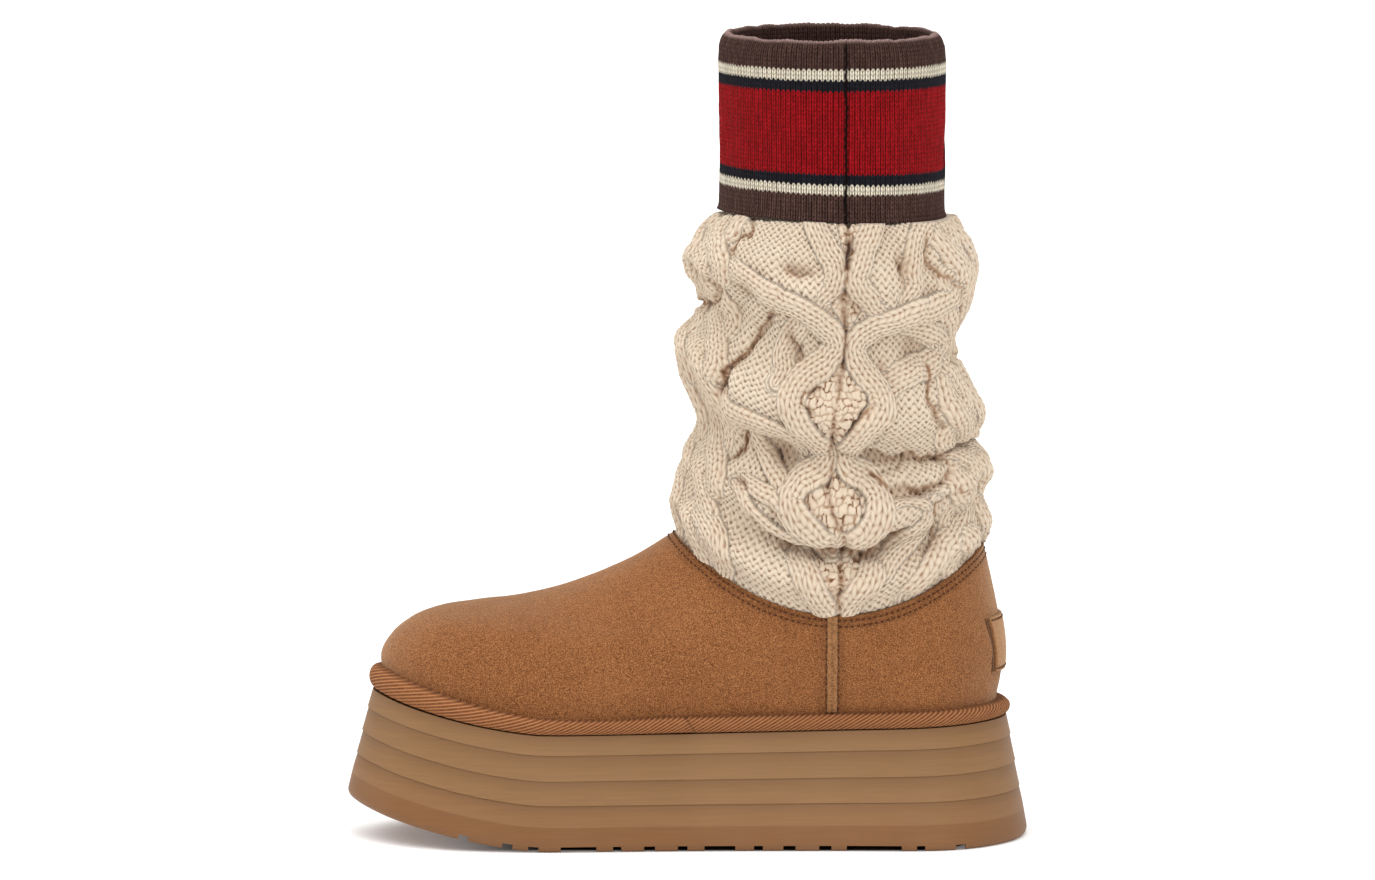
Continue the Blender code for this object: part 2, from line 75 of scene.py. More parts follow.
SEAM_RAISE = 0.0013
LABEL_WIDTH = 0.0390
LABEL_HEIGHT = 0.0225
LABEL_FROM_PLATFORM = 0.0185
LABEL_THICKNESS = 0.0015
STITCH_ROWS = (0.0025, 0.0049)
STITCH_LENGTH = 0.0013
THREAD_RADIUS = 0.0003
LABEL_ROWS = (0.075, 0.925)
BOOT_HEIGHT = 0.3210
CUFF_HEIGHT = 0.0717
CUFF_DEPTH = 0.0892
CUFF_WIDTH = 0.0890
CUFF_WALL = 0.0050
CUFF_DROP = 0.0016
KNIT_WALL = 0.0040
KNIT_TUCK = 0.0080
ROLL_DEPTH = 0.0100
GAP = 0.0003
MM = 0.001
LATTICE = 64

HEEL_X = SOLE_LENGTH / 2
TOE_X = -SOLE_LENGTH / 2
PLATFORM_HEEL_X = HEEL_X - HEEL_FLARE
SPRING_X = TOE_X + SPRING_RUN
ANKLE_X = PLATFORM_HEEL_X - ANKLE_FROM_HEEL

SOLE_PLAN = (
    # along, medial, lateral, flare
    (0.000, 0.00, 0.00, 0.00),
    (0.028, 0.52, 0.52, 0.62),
    (0.120, 0.90, 0.91, 1.00),
    (0.290, 0.92, 0.94, 0.92),
    (0.470, 0.93, 0.99, 0.70),
    (0.630, 0.97, 1.00, 0.52),
    (0.720, 0.99, 0.97, 0.48),
    (0.850, 0.91, 0.79, 0.50),
    (0.950, 0.61, 0.45, 0.35),
    (1.000, 0.08, -0.08, 0.00),
)

UPPER_RIBS = (
    # toe run, rise, bulge; side run, rise, bulge; heel run, rise, bulge
    (0.000, 0.000, 0.00, 0.00, 0.00, 0.00, 0.00, 0.00, 0.00),
    (0.000, 0.115, 0.05, 0.02, 0.11, 0.05, 0.00, 0.10, 0.05),
    (0.003, 0.226, 0.35, 0.06, 0.22, 0.45, 0.00, 0.20, 0.55),
    (0.027, 0.325, 0.35, 0.13, 0.33, 0.80, 0.02, 0.30, 0.90),
    (0.072, 0.425, 0.20, 0.22, 0.44, 1.00, 0.08, 0.41, 1.00),
    (0.155, 0.510, 0.10, 0.34, 0.54, 1.00, 0.18, 0.52, 0.90),
    (0.310, 0.556, 0.00, 0.48, 0.64, 0.85, 0.32, 0.62, 0.70),
    (0.500, 0.603, 0.00, 0.62, 0.73, 0.65, 0.48, 0.72, 0.50),
    (0.690, 0.703, 0.00, 0.75, 0.82, 0.42, 0.65, 0.82, 0.30),
    (0.855, 0.835, 0.00, 0.88, 0.91, 0.20, 0.83, 0.91, 0.12),
    (1.000, 1.000, 0.00, 1.00, 1.00, 0.00, 1.00, 1.00, 0.00),
)

KNIT_ROLLS = (
    # front up, out; medial up, out; back up, out; lateral up, out
    (0.090, 0.58, 0.075, 0.62, 0.074, 0.25, 0.080, 0.58),
    (0.160, 0.38, 0.165, -0.10, 0.150, -0.08, 0.170, 0.05),
    (0.235, 0.22, 0.265, 0.70, 0.240, 0.46, 0.260, 0.66),
    (0.346, -0.15, 0.405, -0.15, 0.315, -0.12, 0.380, -0.12),
    (0.570, 1.07, 0.510, 0.85, 0.420, 0.46, 0.500, 0.82),
    (0.697, 0.28, 0.680, 0.25, 0.600, -0.34, 0.660, 0.05),
    (0.850, 1.20, 0.845, 0.95, 0.820, 0.92, 0.840, 1.00),
    (0.985, 0.30, 0.985, 0.28, 0.985, 0.25, 0.985, 0.28),
)

CUFF_SECTION = (
    # up, inward
    (0.000, -0.12),
    (0.070, 0.00),
    (0.500, 0.00),
    (0.880, 0.00),
    (0.940, 0.09),
    (0.979, 0.30),
    (1.000, 0.64),
    (0.985, 0.94),
    (0.930, 1.02),
    (0.500, 1.00),
    (0.000, 1.00),
)

TREAD_GROOVES = (
    # along, width, reach
    (0.103, 0.014, 1.00),
    (0.161, 0.012, 1.00),
    (0.229, 0.080, 0.20),
    (0.300, 0.018, 1.00),
    (0.352, 0.018, 1.00),
    (0.397, 0.013, 1.00),
    (0.453, 0.045, 0.20),
    (0.507, 0.014, 1.00),
    (0.555, 0.016, 1.00),
    (0.602, 0.012, 1.00),
    (0.658, 0.052, 0.20),
    (0.724, 0.015, 1.00),
    (0.762, 0.015, 1.00),
    (0.826, 0.014, 1.00),
)

# Joints between the platform's bands and half the gap at each, as shares of its height, and how far in mm
# a band is set in at its top
BAND_JOINTS = (0.219, 0.403, 0.614, 0.835)
BAND_GAP = 0.003
BAND_SET_IN = 0.47

# Cables on the side of the knit in side view: each strand has its width in mm and its points, with the
# distance behind the toe-heel middle, the height and how far it is lifted over or under its neighbours
SIDE_STRANDS = (
    ("front diamond strand", 11.0, (
        (16, 232, 0.4), (27, 223, 1.2), (37, 220, 1.6), (47, 215, 1.8), (55, 208.5, 1.5),
        (58, 201.5, 1.0), (54, 195, 0.8), (47, 190, 0.6), (42.5, 184, 0.6), (41, 177, 0.6),
        (44, 170, 0.8), (50.5, 163.5, 1.2), (54.5, 157.5, 1.4), (52, 152, 1.2), (46, 148, 1.0),
        (40.5, 143, 1.0), (40.5, 137, 1.0), (46.5, 130, 1.2), (53, 125, 1.4), (57, 121.5, 0.4),
    )),
    ("back diamond strand", 11.0, (
        (110, 221, 0.2), (98, 216, 1.0), (86.5, 212.5, 1.4), (75, 208.5, 1.6), (67, 203, 1.4),
        (66.5, 196.5, 1.0), (70, 189.5, 0.8), (75, 183.5, 0.6), (76.5, 176.5, 0.6), (73, 170, 0.8),
        (66.5, 163, 1.2), (62.5, 157.5, 1.4), (64, 153, 1.2), (69, 149, 1.0), (74.5, 143.5, 1.0),
        (76, 137, 1.0), (73, 130, 1.2), (67, 125, 1.4), (62, 121.5, 0.4),
    )),
    ("front top strand", 10.5, (
        (47, 256, 0.6), (49.5, 249, 0.8), (53.5, 242.5, 1.0), (57.5, 235.5, 1.0), (58.5, 228, 0.6),
        (55, 221, -1.2), (48, 213.5, -1.6), (41.5, 206.5, -0.2), (38, 199, 0.4), (38, 192, 0.2),
        (35, 186, -1.0),
    )),
    ("back top strand", 10.5, (
        (77, 256, 0.6), (74.5, 250, 0.8), (71, 243, 1.0), (67.5, 235.5, 1.0), (66.5, 228, 0.8),
        (70, 220.5, -0.8), (76, 214, -1.6), (85, 208, -1.0), (94, 205, 0.6), (99, 200, 0.8),
        (96, 194, 0.8), (87, 190, 0.6), (80, 186, -0.6),
    )),
    ("back top loop", 9.5, (
        (98, 253, 0.2), (93, 247, 0.6), (90, 241, 0.8), (89, 233, 0.8), (90, 225, 0.4),
        (86, 218, -1.2),
    )),
    ("purl panel's lower strand", 10.0, (
        (10.5, 180, 0.2), (17, 174, 0.8), (26, 170, 1.0), (35, 167.5, 1.0), (42, 163.5, 0.6),
        (47, 158.5, -0.4),
    )),
    ("front middle strand", 8.0, (
        (23, 171, -0.8), (27, 166, 0.6), (31.5, 158, 1.0), (37, 147, 0.6), (41, 141, -1.0),
    )),
    ("front low strand", 6.5, (
        (17, 146, 0.0), (21.5, 140, 0.8), (27.5, 134.5, 1.0), (36, 128.5, 1.0), (44, 124, 0.8),
        (50, 121.5, 0.2),
    )),
    ("front low branch", 6.0, (
        (21, 148, -0.6), (28, 144, 0.3), (35, 139.5, 0.5), (40, 134, 0.4), (45, 128, -0.2),
    )),
    ("front edge strand", 13.0, (
        (3, 136, 0.4), (7, 130, 0.8), (10, 123, 0.8), (13, 115, 0.6), (15, 108, 0.2),
    )),
    ("front hem strand", 10.5, (
        (43, 118, -0.6), (45, 114, 0.6), (47, 108, 0.8), (51, 102, 0.8), (56, 95, 0.6),
        (58, 90, 0.2),
    )),
    ("back hem strand", 10.5, (
        (75, 118, -0.6), (73.5, 114, 0.6), (72, 108, 0.8), (67, 102, 0.8), (62, 95, 0.6),
        (60, 90, 0.2),
    )),
    ("back middle strand", 7.5, (
        (102, 151, -0.8), (106, 152, -0.2), (112, 154, -0.4), (118, 156, -0.8),
    )),
    ("back lower strand", 4.5, (
        (76, 133, -1.0), (79, 137, -0.6), (86, 138.8, -0.4), (93, 137.5, -0.5), (97, 134, -0.9),
    )),
    ("back low strand", 9.5, (
        (98, 138, 0.2), (95, 131, 0.8), (89, 124, 0.8), (81, 117, 0.6), (77, 111, -0.4),
    )),
    ("back edge strand", 12.0, (
        (108, 139, 0.2), (109, 132, 0.8), (106, 124, 0.8), (99, 115, 0.6), (92, 107, 0.4),
        (86, 101, 0.2),
    )),
)

# Twisted cables down the front and the back of the leg: angle round the leg from the back in degrees,
# sway and length of a twist in mm, and where in the twist it starts
TWIST_CABLES = (
    # angle, sway, pitch, start
    (148.0, 6.5, 46.0, 0.15),
    (178.0, 6.0, 40.0, 0.55),
    (212.0, 6.5, 46.0, 0.65),
    (30.0, 6.5, 42.0, 0.40),
    (2.0, 6.0, 44.0, 0.05),
    (330.0, 6.5, 42.0, 0.90),
)
TWIST_WIDTH = 12.5

# Seam between the knit's front and back panels in side view
SIDE_SEAM = (
    (62.5, 256), (62.6, 250), (63.4, 236), (61.8, 221), (62.8, 206), (61.6, 194), (60, 184.5),
    (57.7, 171), (57.5, 167), (56.5, 159.5), (57.5, 152), (55, 143), (57.5, 135), (61.6, 124),
    (60.8, 117), (59.3, 99), (59, 90),
)

# Moss-stitch diamonds on the seam: top, widest and bottom height, and half widths to the front and the back
MOSS_DIAMONDS = (
    # top, widest, bottom, front, back
    (262.0, 254.0, 232.0, 9.0, 11.0),
    (228.0, 217.0, 208.0, 6.0, 9.0),
    (200.0, 180.0, 161.0, 15.0, 12.5),
    (153.0, 141.0, 122.0, 14.0, 13.0),
    (127.0, 114.0, 96.0, 11.5, 12.0),
)

# Creases in side view: depth and reach in mm, how far the cloth on one side hangs over, and the points,
# each with its place and, where it isn't 1, how strongly the crease's painted shade shows there
SIDE_CREASES = (
    (2.4, 5.0, 0.3, (
        (-4, 228.5), (3, 226.5), (9, 223.5), (12, 218.5), (10, 214), (3, 213), (-3, 213),
    )),
    (1.9, 4.0, 0.4, (
        (16, 232.8), (16.6, 238.3), (19.4, 243.9), (25, 246), (26.5, 250),
    )),
    (1.8, 4.5, 0.5, (
        (52, 228.5), (45, 229), (40.3, 230), (34.8, 233.3),
    )),
    (2.8, 5.5, 0.7, (
        (11, 178), (12.2, 183), (13.9, 190.6), (19.4, 197.3), (26, 204), (30.9, 209.5), (33, 217),
    )),
    (2.2, 4.5, 0.4, (
        (39, 209), (40.5, 206), (42.5, 202), (45.2, 196), (47, 192),
    )),
    (2.6, 4.5, 0.5, (
        (14, 154), (18, 157.5), (21.5, 159), (23.5, 163.5), (22.5, 167), (20.5, 171.5),
    )),
    (2.0, 3.5, 0.4, (
        (20, 140), (22, 143), (20.5, 146), (17, 148.5),
    )),
    (1.3, 2.6, 0.1, (
        (31, 163.5, 0.4), (33, 160, 0.5), (36, 156, 0.5), (39, 151, 0.4),
    )),
    (1.4, 3.5, 0.3, (
        (99, 189), (103, 191.5), (107, 192.5), (114, 191),
    )),
    (1.8, 4.5, 0.5, (
        (93.6, 246), (94.2, 236.1), (98.6, 230.6), (106.9, 221.7), (107.4, 212),
    )),
    (2.2, 4.0, 0.2, (
        (82, 239), (85, 235), (86, 231), (84.5, 226),
    )),
    (1.9, 4.5, 0.6, (
        (91, 197), (92.5, 193.4), (95.3, 186.2), (96.4, 179.5), (99.7, 174), (100.8, 164),
    )),
    (2.4, 4.0, 0.1, (
        (62, 247), (63.5, 240), (62.5, 234), (60.5, 228),
    )),
    (3.0, 5.0, 0.8, (
        (69, 162, 0.1), (72, 158.5, 0.15), (80, 156.8, 0.15), (88, 156.5, 0.3), (91.5, 156.5, 1.0),
        (95, 156, 1.0), (99, 155.5, 0.9), (102.5, 156.5, 0.4), (106, 159, 0.6), (111.5, 161, 0.8),
        (116, 162, 0.4),
    )),
    (2.4, 4.5, 0.8, (
        (68, 153.5, 0.6), (72.5, 149.5, 1.0), (75, 147, 1.0), (78, 145, 0.3), (88.5, 144.5, 0.4),
        (92, 144.5, 1.0), (95.5, 145, 1.0), (99, 145.5, 0.7), (102, 147, 0.5), (104, 150, 0.2),
    )),
    (1.1, 2.5, 0.2, (
        (70, 149), (75, 149.5), (79, 150.5), (83.5, 153), (86, 156), (87, 160),
    )),
    (1.1, 2.5, 0.2, (
        (97, 158), (101, 153), (102.5, 149), (101, 146), (98, 144),
    )),
    (1.6, 4.0, 0.5, (
        (93, 132), (97, 134), (100.5, 137), (104.5, 140.5), (110, 142), (117, 142),
    )),
    (3.2, 6.0, 0.9, (
        (20, 134.5, 0.3), (28, 131.5, 0.4), (33, 128, 0.7), (38, 124.6, 1.0), (44.5, 122, 1.0),
        (51, 121, 1.0), (60, 120.3, 1.0), (69, 120.7, 1.0), (78, 123, 1.0), (89, 130, 0.8),
    )),
    (1.4, 3.5, 0.6, (
        (54, 163), (57.9, 160), (68.9, 158.6),
    )),
    (1.6, 4.0, 0.5, (
        (96.4, 139), (97.5, 131.8), (97, 123), (92, 114),
    )),
    (1.4, 4.0, 0.4, (
        (68, 214), (62, 219), (55, 219.5),
    )),
    (1.2, 4.0, 0.4, (
        (77.7, 186), (77, 192.8), (75.5, 198),
    )),
    (1.5, 2.2, 0.2, (
        (55.5, 187.5), (51.5, 184.5), (46.5, 181.5), (45.5, 179), (47.5, 174.5), (49.5, 172.5),
    )),
    (1.7, 2.2, 0.1, (
        (67.5, 179.5), (71, 178.5), (70.5, 175.5), (67, 173), (66, 170), (62.5, 164.5),
    )),
)

# Hollows in side view: distance behind the middle, height, reach along and up, and depth, in mm
SIDE_HOLLOWS = (
    (43.0, 231.0, 10.0, 5.0, 3.0),
    (22.0, 222.0, 7.0, 6.0, 2.4),
    (11.0, 221.0, 6.0, 6.0, 2.6),
    (41.5, 206.0, 4.5, 7.5, 2.6),
    (66.0, 216.0, 9.0, 5.0, 1.6),
    (85.5, 231.0, 4.0, 9.0, 2.4),
    (87.0, 199.0, 10.0, 6.0, 1.6),
    (12.0, 186.0, 5.0, 8.0, 1.6),
    (38.5, 158.0, 8.0, 7.0, 3.2),
    (80.0, 161.0, 8.0, 3.5, 1.4),
    (52.0, 152.0, 4.0, 5.0, 1.6),
    (66.0, 148.0, 5.0, 5.0, 1.2),
    (87.0, 142.0, 11.0, 2.6, 3.2),
    (93.5, 142.0, 4.0, 3.0, 1.6),
    (10.0, 165.0, 6.0, 6.0, 1.8),
    (20.0, 212.0, 5.0, 7.0, 1.4),
    (20.0, 146.0, 6.0, 4.0, 1.6),
    (34.0, 133.0, 7.0, 4.0, 1.2),
    (100.0, 173.0, 5.0, 8.0, 1.4),
)

CREAM = (0.640, 0.520, 0.392)
CREAM_LIGHT = (0.75, 0.64, 0.505)
# Painted shade of the knit in holes, gaps, creases and hollows, also used for the dark marks of its seams
CREAM_SHADE = (0.36, 0.212, 0.122)
CREAM_SEAM_AND_DEEP_SHADE = (0.135, 0.060, 0.028)
# Dark brown of the suede's seams and stitch rows, also used for its painted shade
SHADE_AND_SEAM_BROWN = (0.060, 0.020, 0.008)
SEAM_PITCH = 0.0026

# Stripes of the cuff: the yarn's colour and the pale flecks in it
CUFF_CREAM = ((0.72, 0.63, 0.47), (0.90, 0.85, 0.70))
CUFF_BLACK = ((0.005, 0.005, 0.008), (0.018, 0.020, 0.030))

# Plain stitches, in the shading and in the mesh: how far their legs slope, in rows, how narrow their
# edges are, how deep these are between joints, and the step at a joint
LEG_SLOPE = 0.62
LEG_POWER = 2.2
PIT_LOW = 0.45
JOINT_STEP = 0.34
# Purl stitches: the height of their waves in rows, how narrow their holes are, and how deep
PURL_WAVE = 0.32
PURL_POWER = 1.9
PURL_HOLES = (0.38, 0.52, 0.10)
ROUND = 2 * math.pi


def smooth_step(low, high, value):
    share = np.clip((value - low) / (high - low), 0.0, 1.0)
    return share * share * (3.0 - 2.0 * share)


def bell(value, width):
    return np.exp(-((value / width) ** 2))


def fold(value):
    """1 at whole numbers and 0 half-way between them."""
    return np.abs(2 * (value % 1.0) - 1)


def lengths_along(points):
    """The length along a path at each of its points."""
    return np.concatenate(([0.0], np.cumsum(np.linalg.norm(np.diff(points, axis=0), axis=1))))


def read_rows(at, along, rows, **more):
    """Rows of numbers, read at one place or at many places along them."""
    return np.stack([np.interp(at, along, column, **more) for column in np.transpose(rows)], axis=-1)


def spline(rows, place):
    """Catmull-Rom curve through rows, at one place or many from 0 to len(rows) - 1."""
    rows = np.asarray(rows, float)
    place = np.clip(np.asarray(place, float), 0.0, len(rows) - 1)
    start = np.minimum(place.astype(int), len(rows) - 2)
    t = (place - start)[..., None]
    before = rows[np.maximum(start - 1, 0)]
    here = rows[start]
    after = rows[start + 1]
    beyond = rows[np.minimum(start + 2, len(rows) - 1)]
    slope_here = (after - before) / 2
    slope_after = (beyond - here) / 2
    return (
        here * (1 + 2 * t) * (1 - t) ** 2
        + slope_here * t * (1 - t) ** 2
        + after * t * t * (3 - 2 * t)
        + slope_after * t * t * (t - 1)
    )


def half_plan(up, side):
    """One side of the platform's plan at a share of its height, from heel to toe, with lengths."""
    def row_on(which, row):
        reach = SOLE_WIDTH / 2 * row[1 if which < 0 else 2] - SIDE_FLARE * row[3] * up
        return row[0], which * reach

    rows = [row_on(-side, SOLE_PLAN[1])]
    rows += [row_on(side, row) for row in SOLE_PLAN]
    rows.append(row_on(-side, SOLE_PLAN[-2]))
    dense = spline(rows, np.linspace(1.0, len(rows) - 2.0, 400))
    length = SOLE_LENGTH - (TOE_FLARE + HEEL_FLARE) * up
    points = np.column_stack((HEEL_X - HEEL_FLARE * up - length * dense[:, 0], dense[:, 1]))
    return points, lengths_along(points)


def platform_loop(up, shares, inset=0.0):
    """Plan outline of the platform at a share of its height: heel, medial side, toe, lateral side."""
    sides = []
    for side in (-1, 1):
        points, along = half_plan(up, side)
        ahead = np.gradient(points, axis=0)
        outward = side * np.column_stack((ahead[:, 1], -ahead[:, 0]))
        outward /= np.linalg.norm(outward, axis=1)[:, None]
        moved = points - inset * outward
        sides.append(read_rows(np.asarray(shares) * along[-1], along, moved))
    medial, lateral = sides
    tips = (medial[0] + lateral[0]) / 2, (medial[-1] + lateral[-1]) / 2
    return np.vstack((tips[0], medial[1:-1], tips[1], lateral[-2:0:-1]))


def outward_of(loop):
    ahead = np.roll(loop, -1, axis=0) - np.roll(loop, 1, axis=0)
    normal = np.column_stack((ahead[:, 1], -ahead[:, 0]))
    normal /= np.linalg.norm(normal, axis=1)[:, None]
    return normal if normal[0, 0] > 0 else -normal


def spring(x):
    share = np.maximum(0.0, (SPRING_X - x) / SPRING_RUN)
    return TOE_SPRING * share**1.4


def platform_top(x):
    heel_share = np.clip((x + SOLE_LENGTH / 6) / (SOLE_LENGTH * 2 / 3), 0.0, 1.0)
    return PLATFORM_HEIGHT + spring(x) + HEEL_LIFT * heel_share**2


def normals_of(grid):
    """Unit normals of a grid of closed rings, pointing away from the middle of each ring."""
    around = np.roll(grid, -1, axis=1) - np.roll(grid, 1, axis=1)
    upward = np.gradient(grid, axis=0)
    normal = np.cross(around, upward)
    normal /= np.maximum(np.linalg.norm(normal, axis=2), 1e-12)[..., None]
    return normal if normal[0, 0, 0] > 0 else -normal


def foot_shares(stations):
    return 0.6 * stations + 0.4 * stations**2


def ankle_angles(stations):
    feather = foot_shares(stations)
    near, grow = 0.32, 0.68
    return math.pi * (np.sqrt(near**2 + 4 * grow * feather) - near) / (2 * grow)


def both_sides(half):
    values = np.concatenate((half, half[-2:0:-1]))
    signs = np.concatenate((-np.ones(len(half)), np.ones(len(half) - 2)))
    return values, signs


def topline(angles, signs):
    """The upper's top edge, high at the throat and the back and low at the sides."""
    mean_end = (THROAT_RISE + BACK_RISE) / 2
    level = (mean_end + SIDE_RISE) / 2
    dip = (mean_end - SIDE_RISE) / 2
    lean = (BACK_RISE - THROAT_RISE) / 2
    z = PLATFORM_HEIGHT + level + lean * np.cos(angles) + dip * np.cos(2 * angles)
    x = ANKLE_X + ANKLE_DEPTH / 2 * np.cos(angles)
    y = signs * ANKLE_WIDTH / 2 * np.sin(angles)
    return np.column_stack((x, y, z))


def feather_inset():
    return TAPE_WIDTH - TAPE_OVERHANG + GAP


def upper_rings(levels, stations):
    """Outer face of the suede upper: one ring for each level, which is a place in UPPER_RIBS."""
    station, signs = both_sides(stations)
    loop = platform_loop(1.0, foot_shares(stations), feather_inset())
    outward = outward_of(loop)
    feather = np.column_stack((loop, platform_top(loop[:, 0]) + GAP))
    top = topline(*both_sides(ankle_angles(stations)))
    toe = smooth_step(0.50, 0.86, station)[:, None]
    heel = (1.0 - smooth_step(0.0, 0.36, station))[:, None]
    side = 1.0 - toe - heel
    rings = []
    for form in spline(UPPER_RIBS, np.asarray(levels, float)):
        run, rise, bulge = (toe * form[0:3] + side * form[3:6] + heel * form[6:9]).T
        ring = feather + (top - feather) * np.column_stack((run, run, rise))
        ring[:, :2] += outward * (bulge * UPPER_BULGE)[:, None]
        rings.append(ring)
    return np.array(rings)


def leg_weights(angles, signs):
    ahead, across = np.cos(angles), np.sin(angles)
    front = np.where(ahead < 0, ahead**2, 0.0)
    back = np.where(ahead > 0, ahead**2, 0.0)
    medial = np.where(signs < 0, across**2, 0.0)
    lateral = np.where(signs > 0, across**2, 0.0)
    return front, medial, back, lateral


def half_turns(angles):
    """Angles round the leg as turns from the back, with -1 for the medial side and 1 for the lateral."""
    medial = angles <= math.pi
    return np.where(medial, angles, ROUND - angles), np.where(medial, -1.0, 1.0)


def cuff_ring(up, inward, angles, signs):
    z = BOOT_HEIGHT - CUFF_HEIGHT * (1.0 - up) - CUFF_DROP * (1.0 - up) * np.cos(angles)
    x = ANKLE_X + (CUFF_DEPTH / 2 - inward) * np.cos(angles)
    return np.column_stack((x, signs * (CUFF_WIDTH / 2 - inward) * np.sin(angles), z))


def soft_noise(u, v, size, seed, octaves=2):
    """Smooth noise about 0 on a square lattice with cells of the given size, which repeats after some."""
    total = np.zeros(np.broadcast(u, v).shape)
    weight = 1.0
    for octave in range(octaves):
        table = np.random.default_rng(seed + octave).uniform(-1, 1, (LATTICE, LATTICE))
        x, y = u / size * 2**octave, v / size * 2**octave
        i, j = np.floor(x).astype(int), np.floor(y).astype(int)
        fx, fy = smooth_step(0, 1, x - i), smooth_step(0, 1, y - j)
        left, right, below, above = i % LATTICE, (i + 1) % LATTICE, j % LATTICE, (j + 1) % LATTICE
        low = table[left, below] * (1 - fx) + table[right, below] * fx
        high = table[left, above] * (1 - fx) + table[right, above] * fx
        total += weight * (low * (1 - fy) + high * fy)
        weight /= 2
    return total


def line_noise(along, size, seed):
    return soft_noise(along, along * 0, size, seed)


def corner_normal(grid, row=0):
    """Across the first face of a row of a grid, on the side its points turn to."""
    return np.cross(grid[row, 1] - grid[row, 0], grid[row + 1, 0] - grid[row, 0])


def mesh_object(name, vertices, faces, finish, values=None, normals=None):
    """An object from points and equal-sided faces, with values as named numbers on its points."""
    vertices = np.ascontiguousarray(vertices, np.float32).reshape(-1, 3)
    faces = np.ascontiguousarray(faces, np.int32)
    mesh = bpy.data.meshes.new(name)
    mesh.vertices.add(len(vertices))
    mesh.vertices.foreach_set("co", vertices.ravel())
    mesh.loops.add(faces.size)
    mesh.loops.foreach_set("vertex_index", faces.ravel())
    mesh.polygons.add(len(faces))
    mesh.polygons.foreach_set("loop_start", np.arange(0, faces.size, faces.shape[1], dtype=np.int32))
    mesh.update(calc_edges=True)
    for key, column in (values or {}).items():
        layer = mesh.attributes.new(key, "FLOAT", "POINT")
        layer.data.foreach_set("value", np.ascontiguousarray(column, np.float32).ravel())
    mesh.materials.append(finish)
    mesh.shade_smooth()
    if normals is not None:
        mesh.normals_split_custom_set_from_vertices(normals.reshape(-1, 3).tolist())
    made = bpy.data.objects.new(name, mesh)
    bpy.context.scene.collection.objects.link(made)
    return made


def grid_faces(rows, columns, closed, flip=False):
    """Four-sided faces of a grid. A closed grid joins its last column to its first."""
    wide = columns if closed else columns - 1
    r, c = np.meshgrid(np.arange(rows - 1), np.arange(wide), indexing="ij")
    after = (c + 1) % columns
    low, high = r * columns, (r + 1) * columns
    faces = np.stack((low + c, low + after, high + after, high + c), -1).reshape(-1, 4)
    return faces[:, ::-1] if flip else faces


def tube_object(name, rings, finish, values=None, **more):
    """Closed rings, stacked and joined: an open sleeve whose faces point away from its middle."""
    rings = np.asarray(rings)
    rows, around = rings.shape[:2]
    flip = corner_normal(rings) @ (rings[0, 0] - rings[0].mean(axis=0)) < 0
    return mesh_object(name, rings, grid_faces(rows, around, True, flip), finish, values, **more)


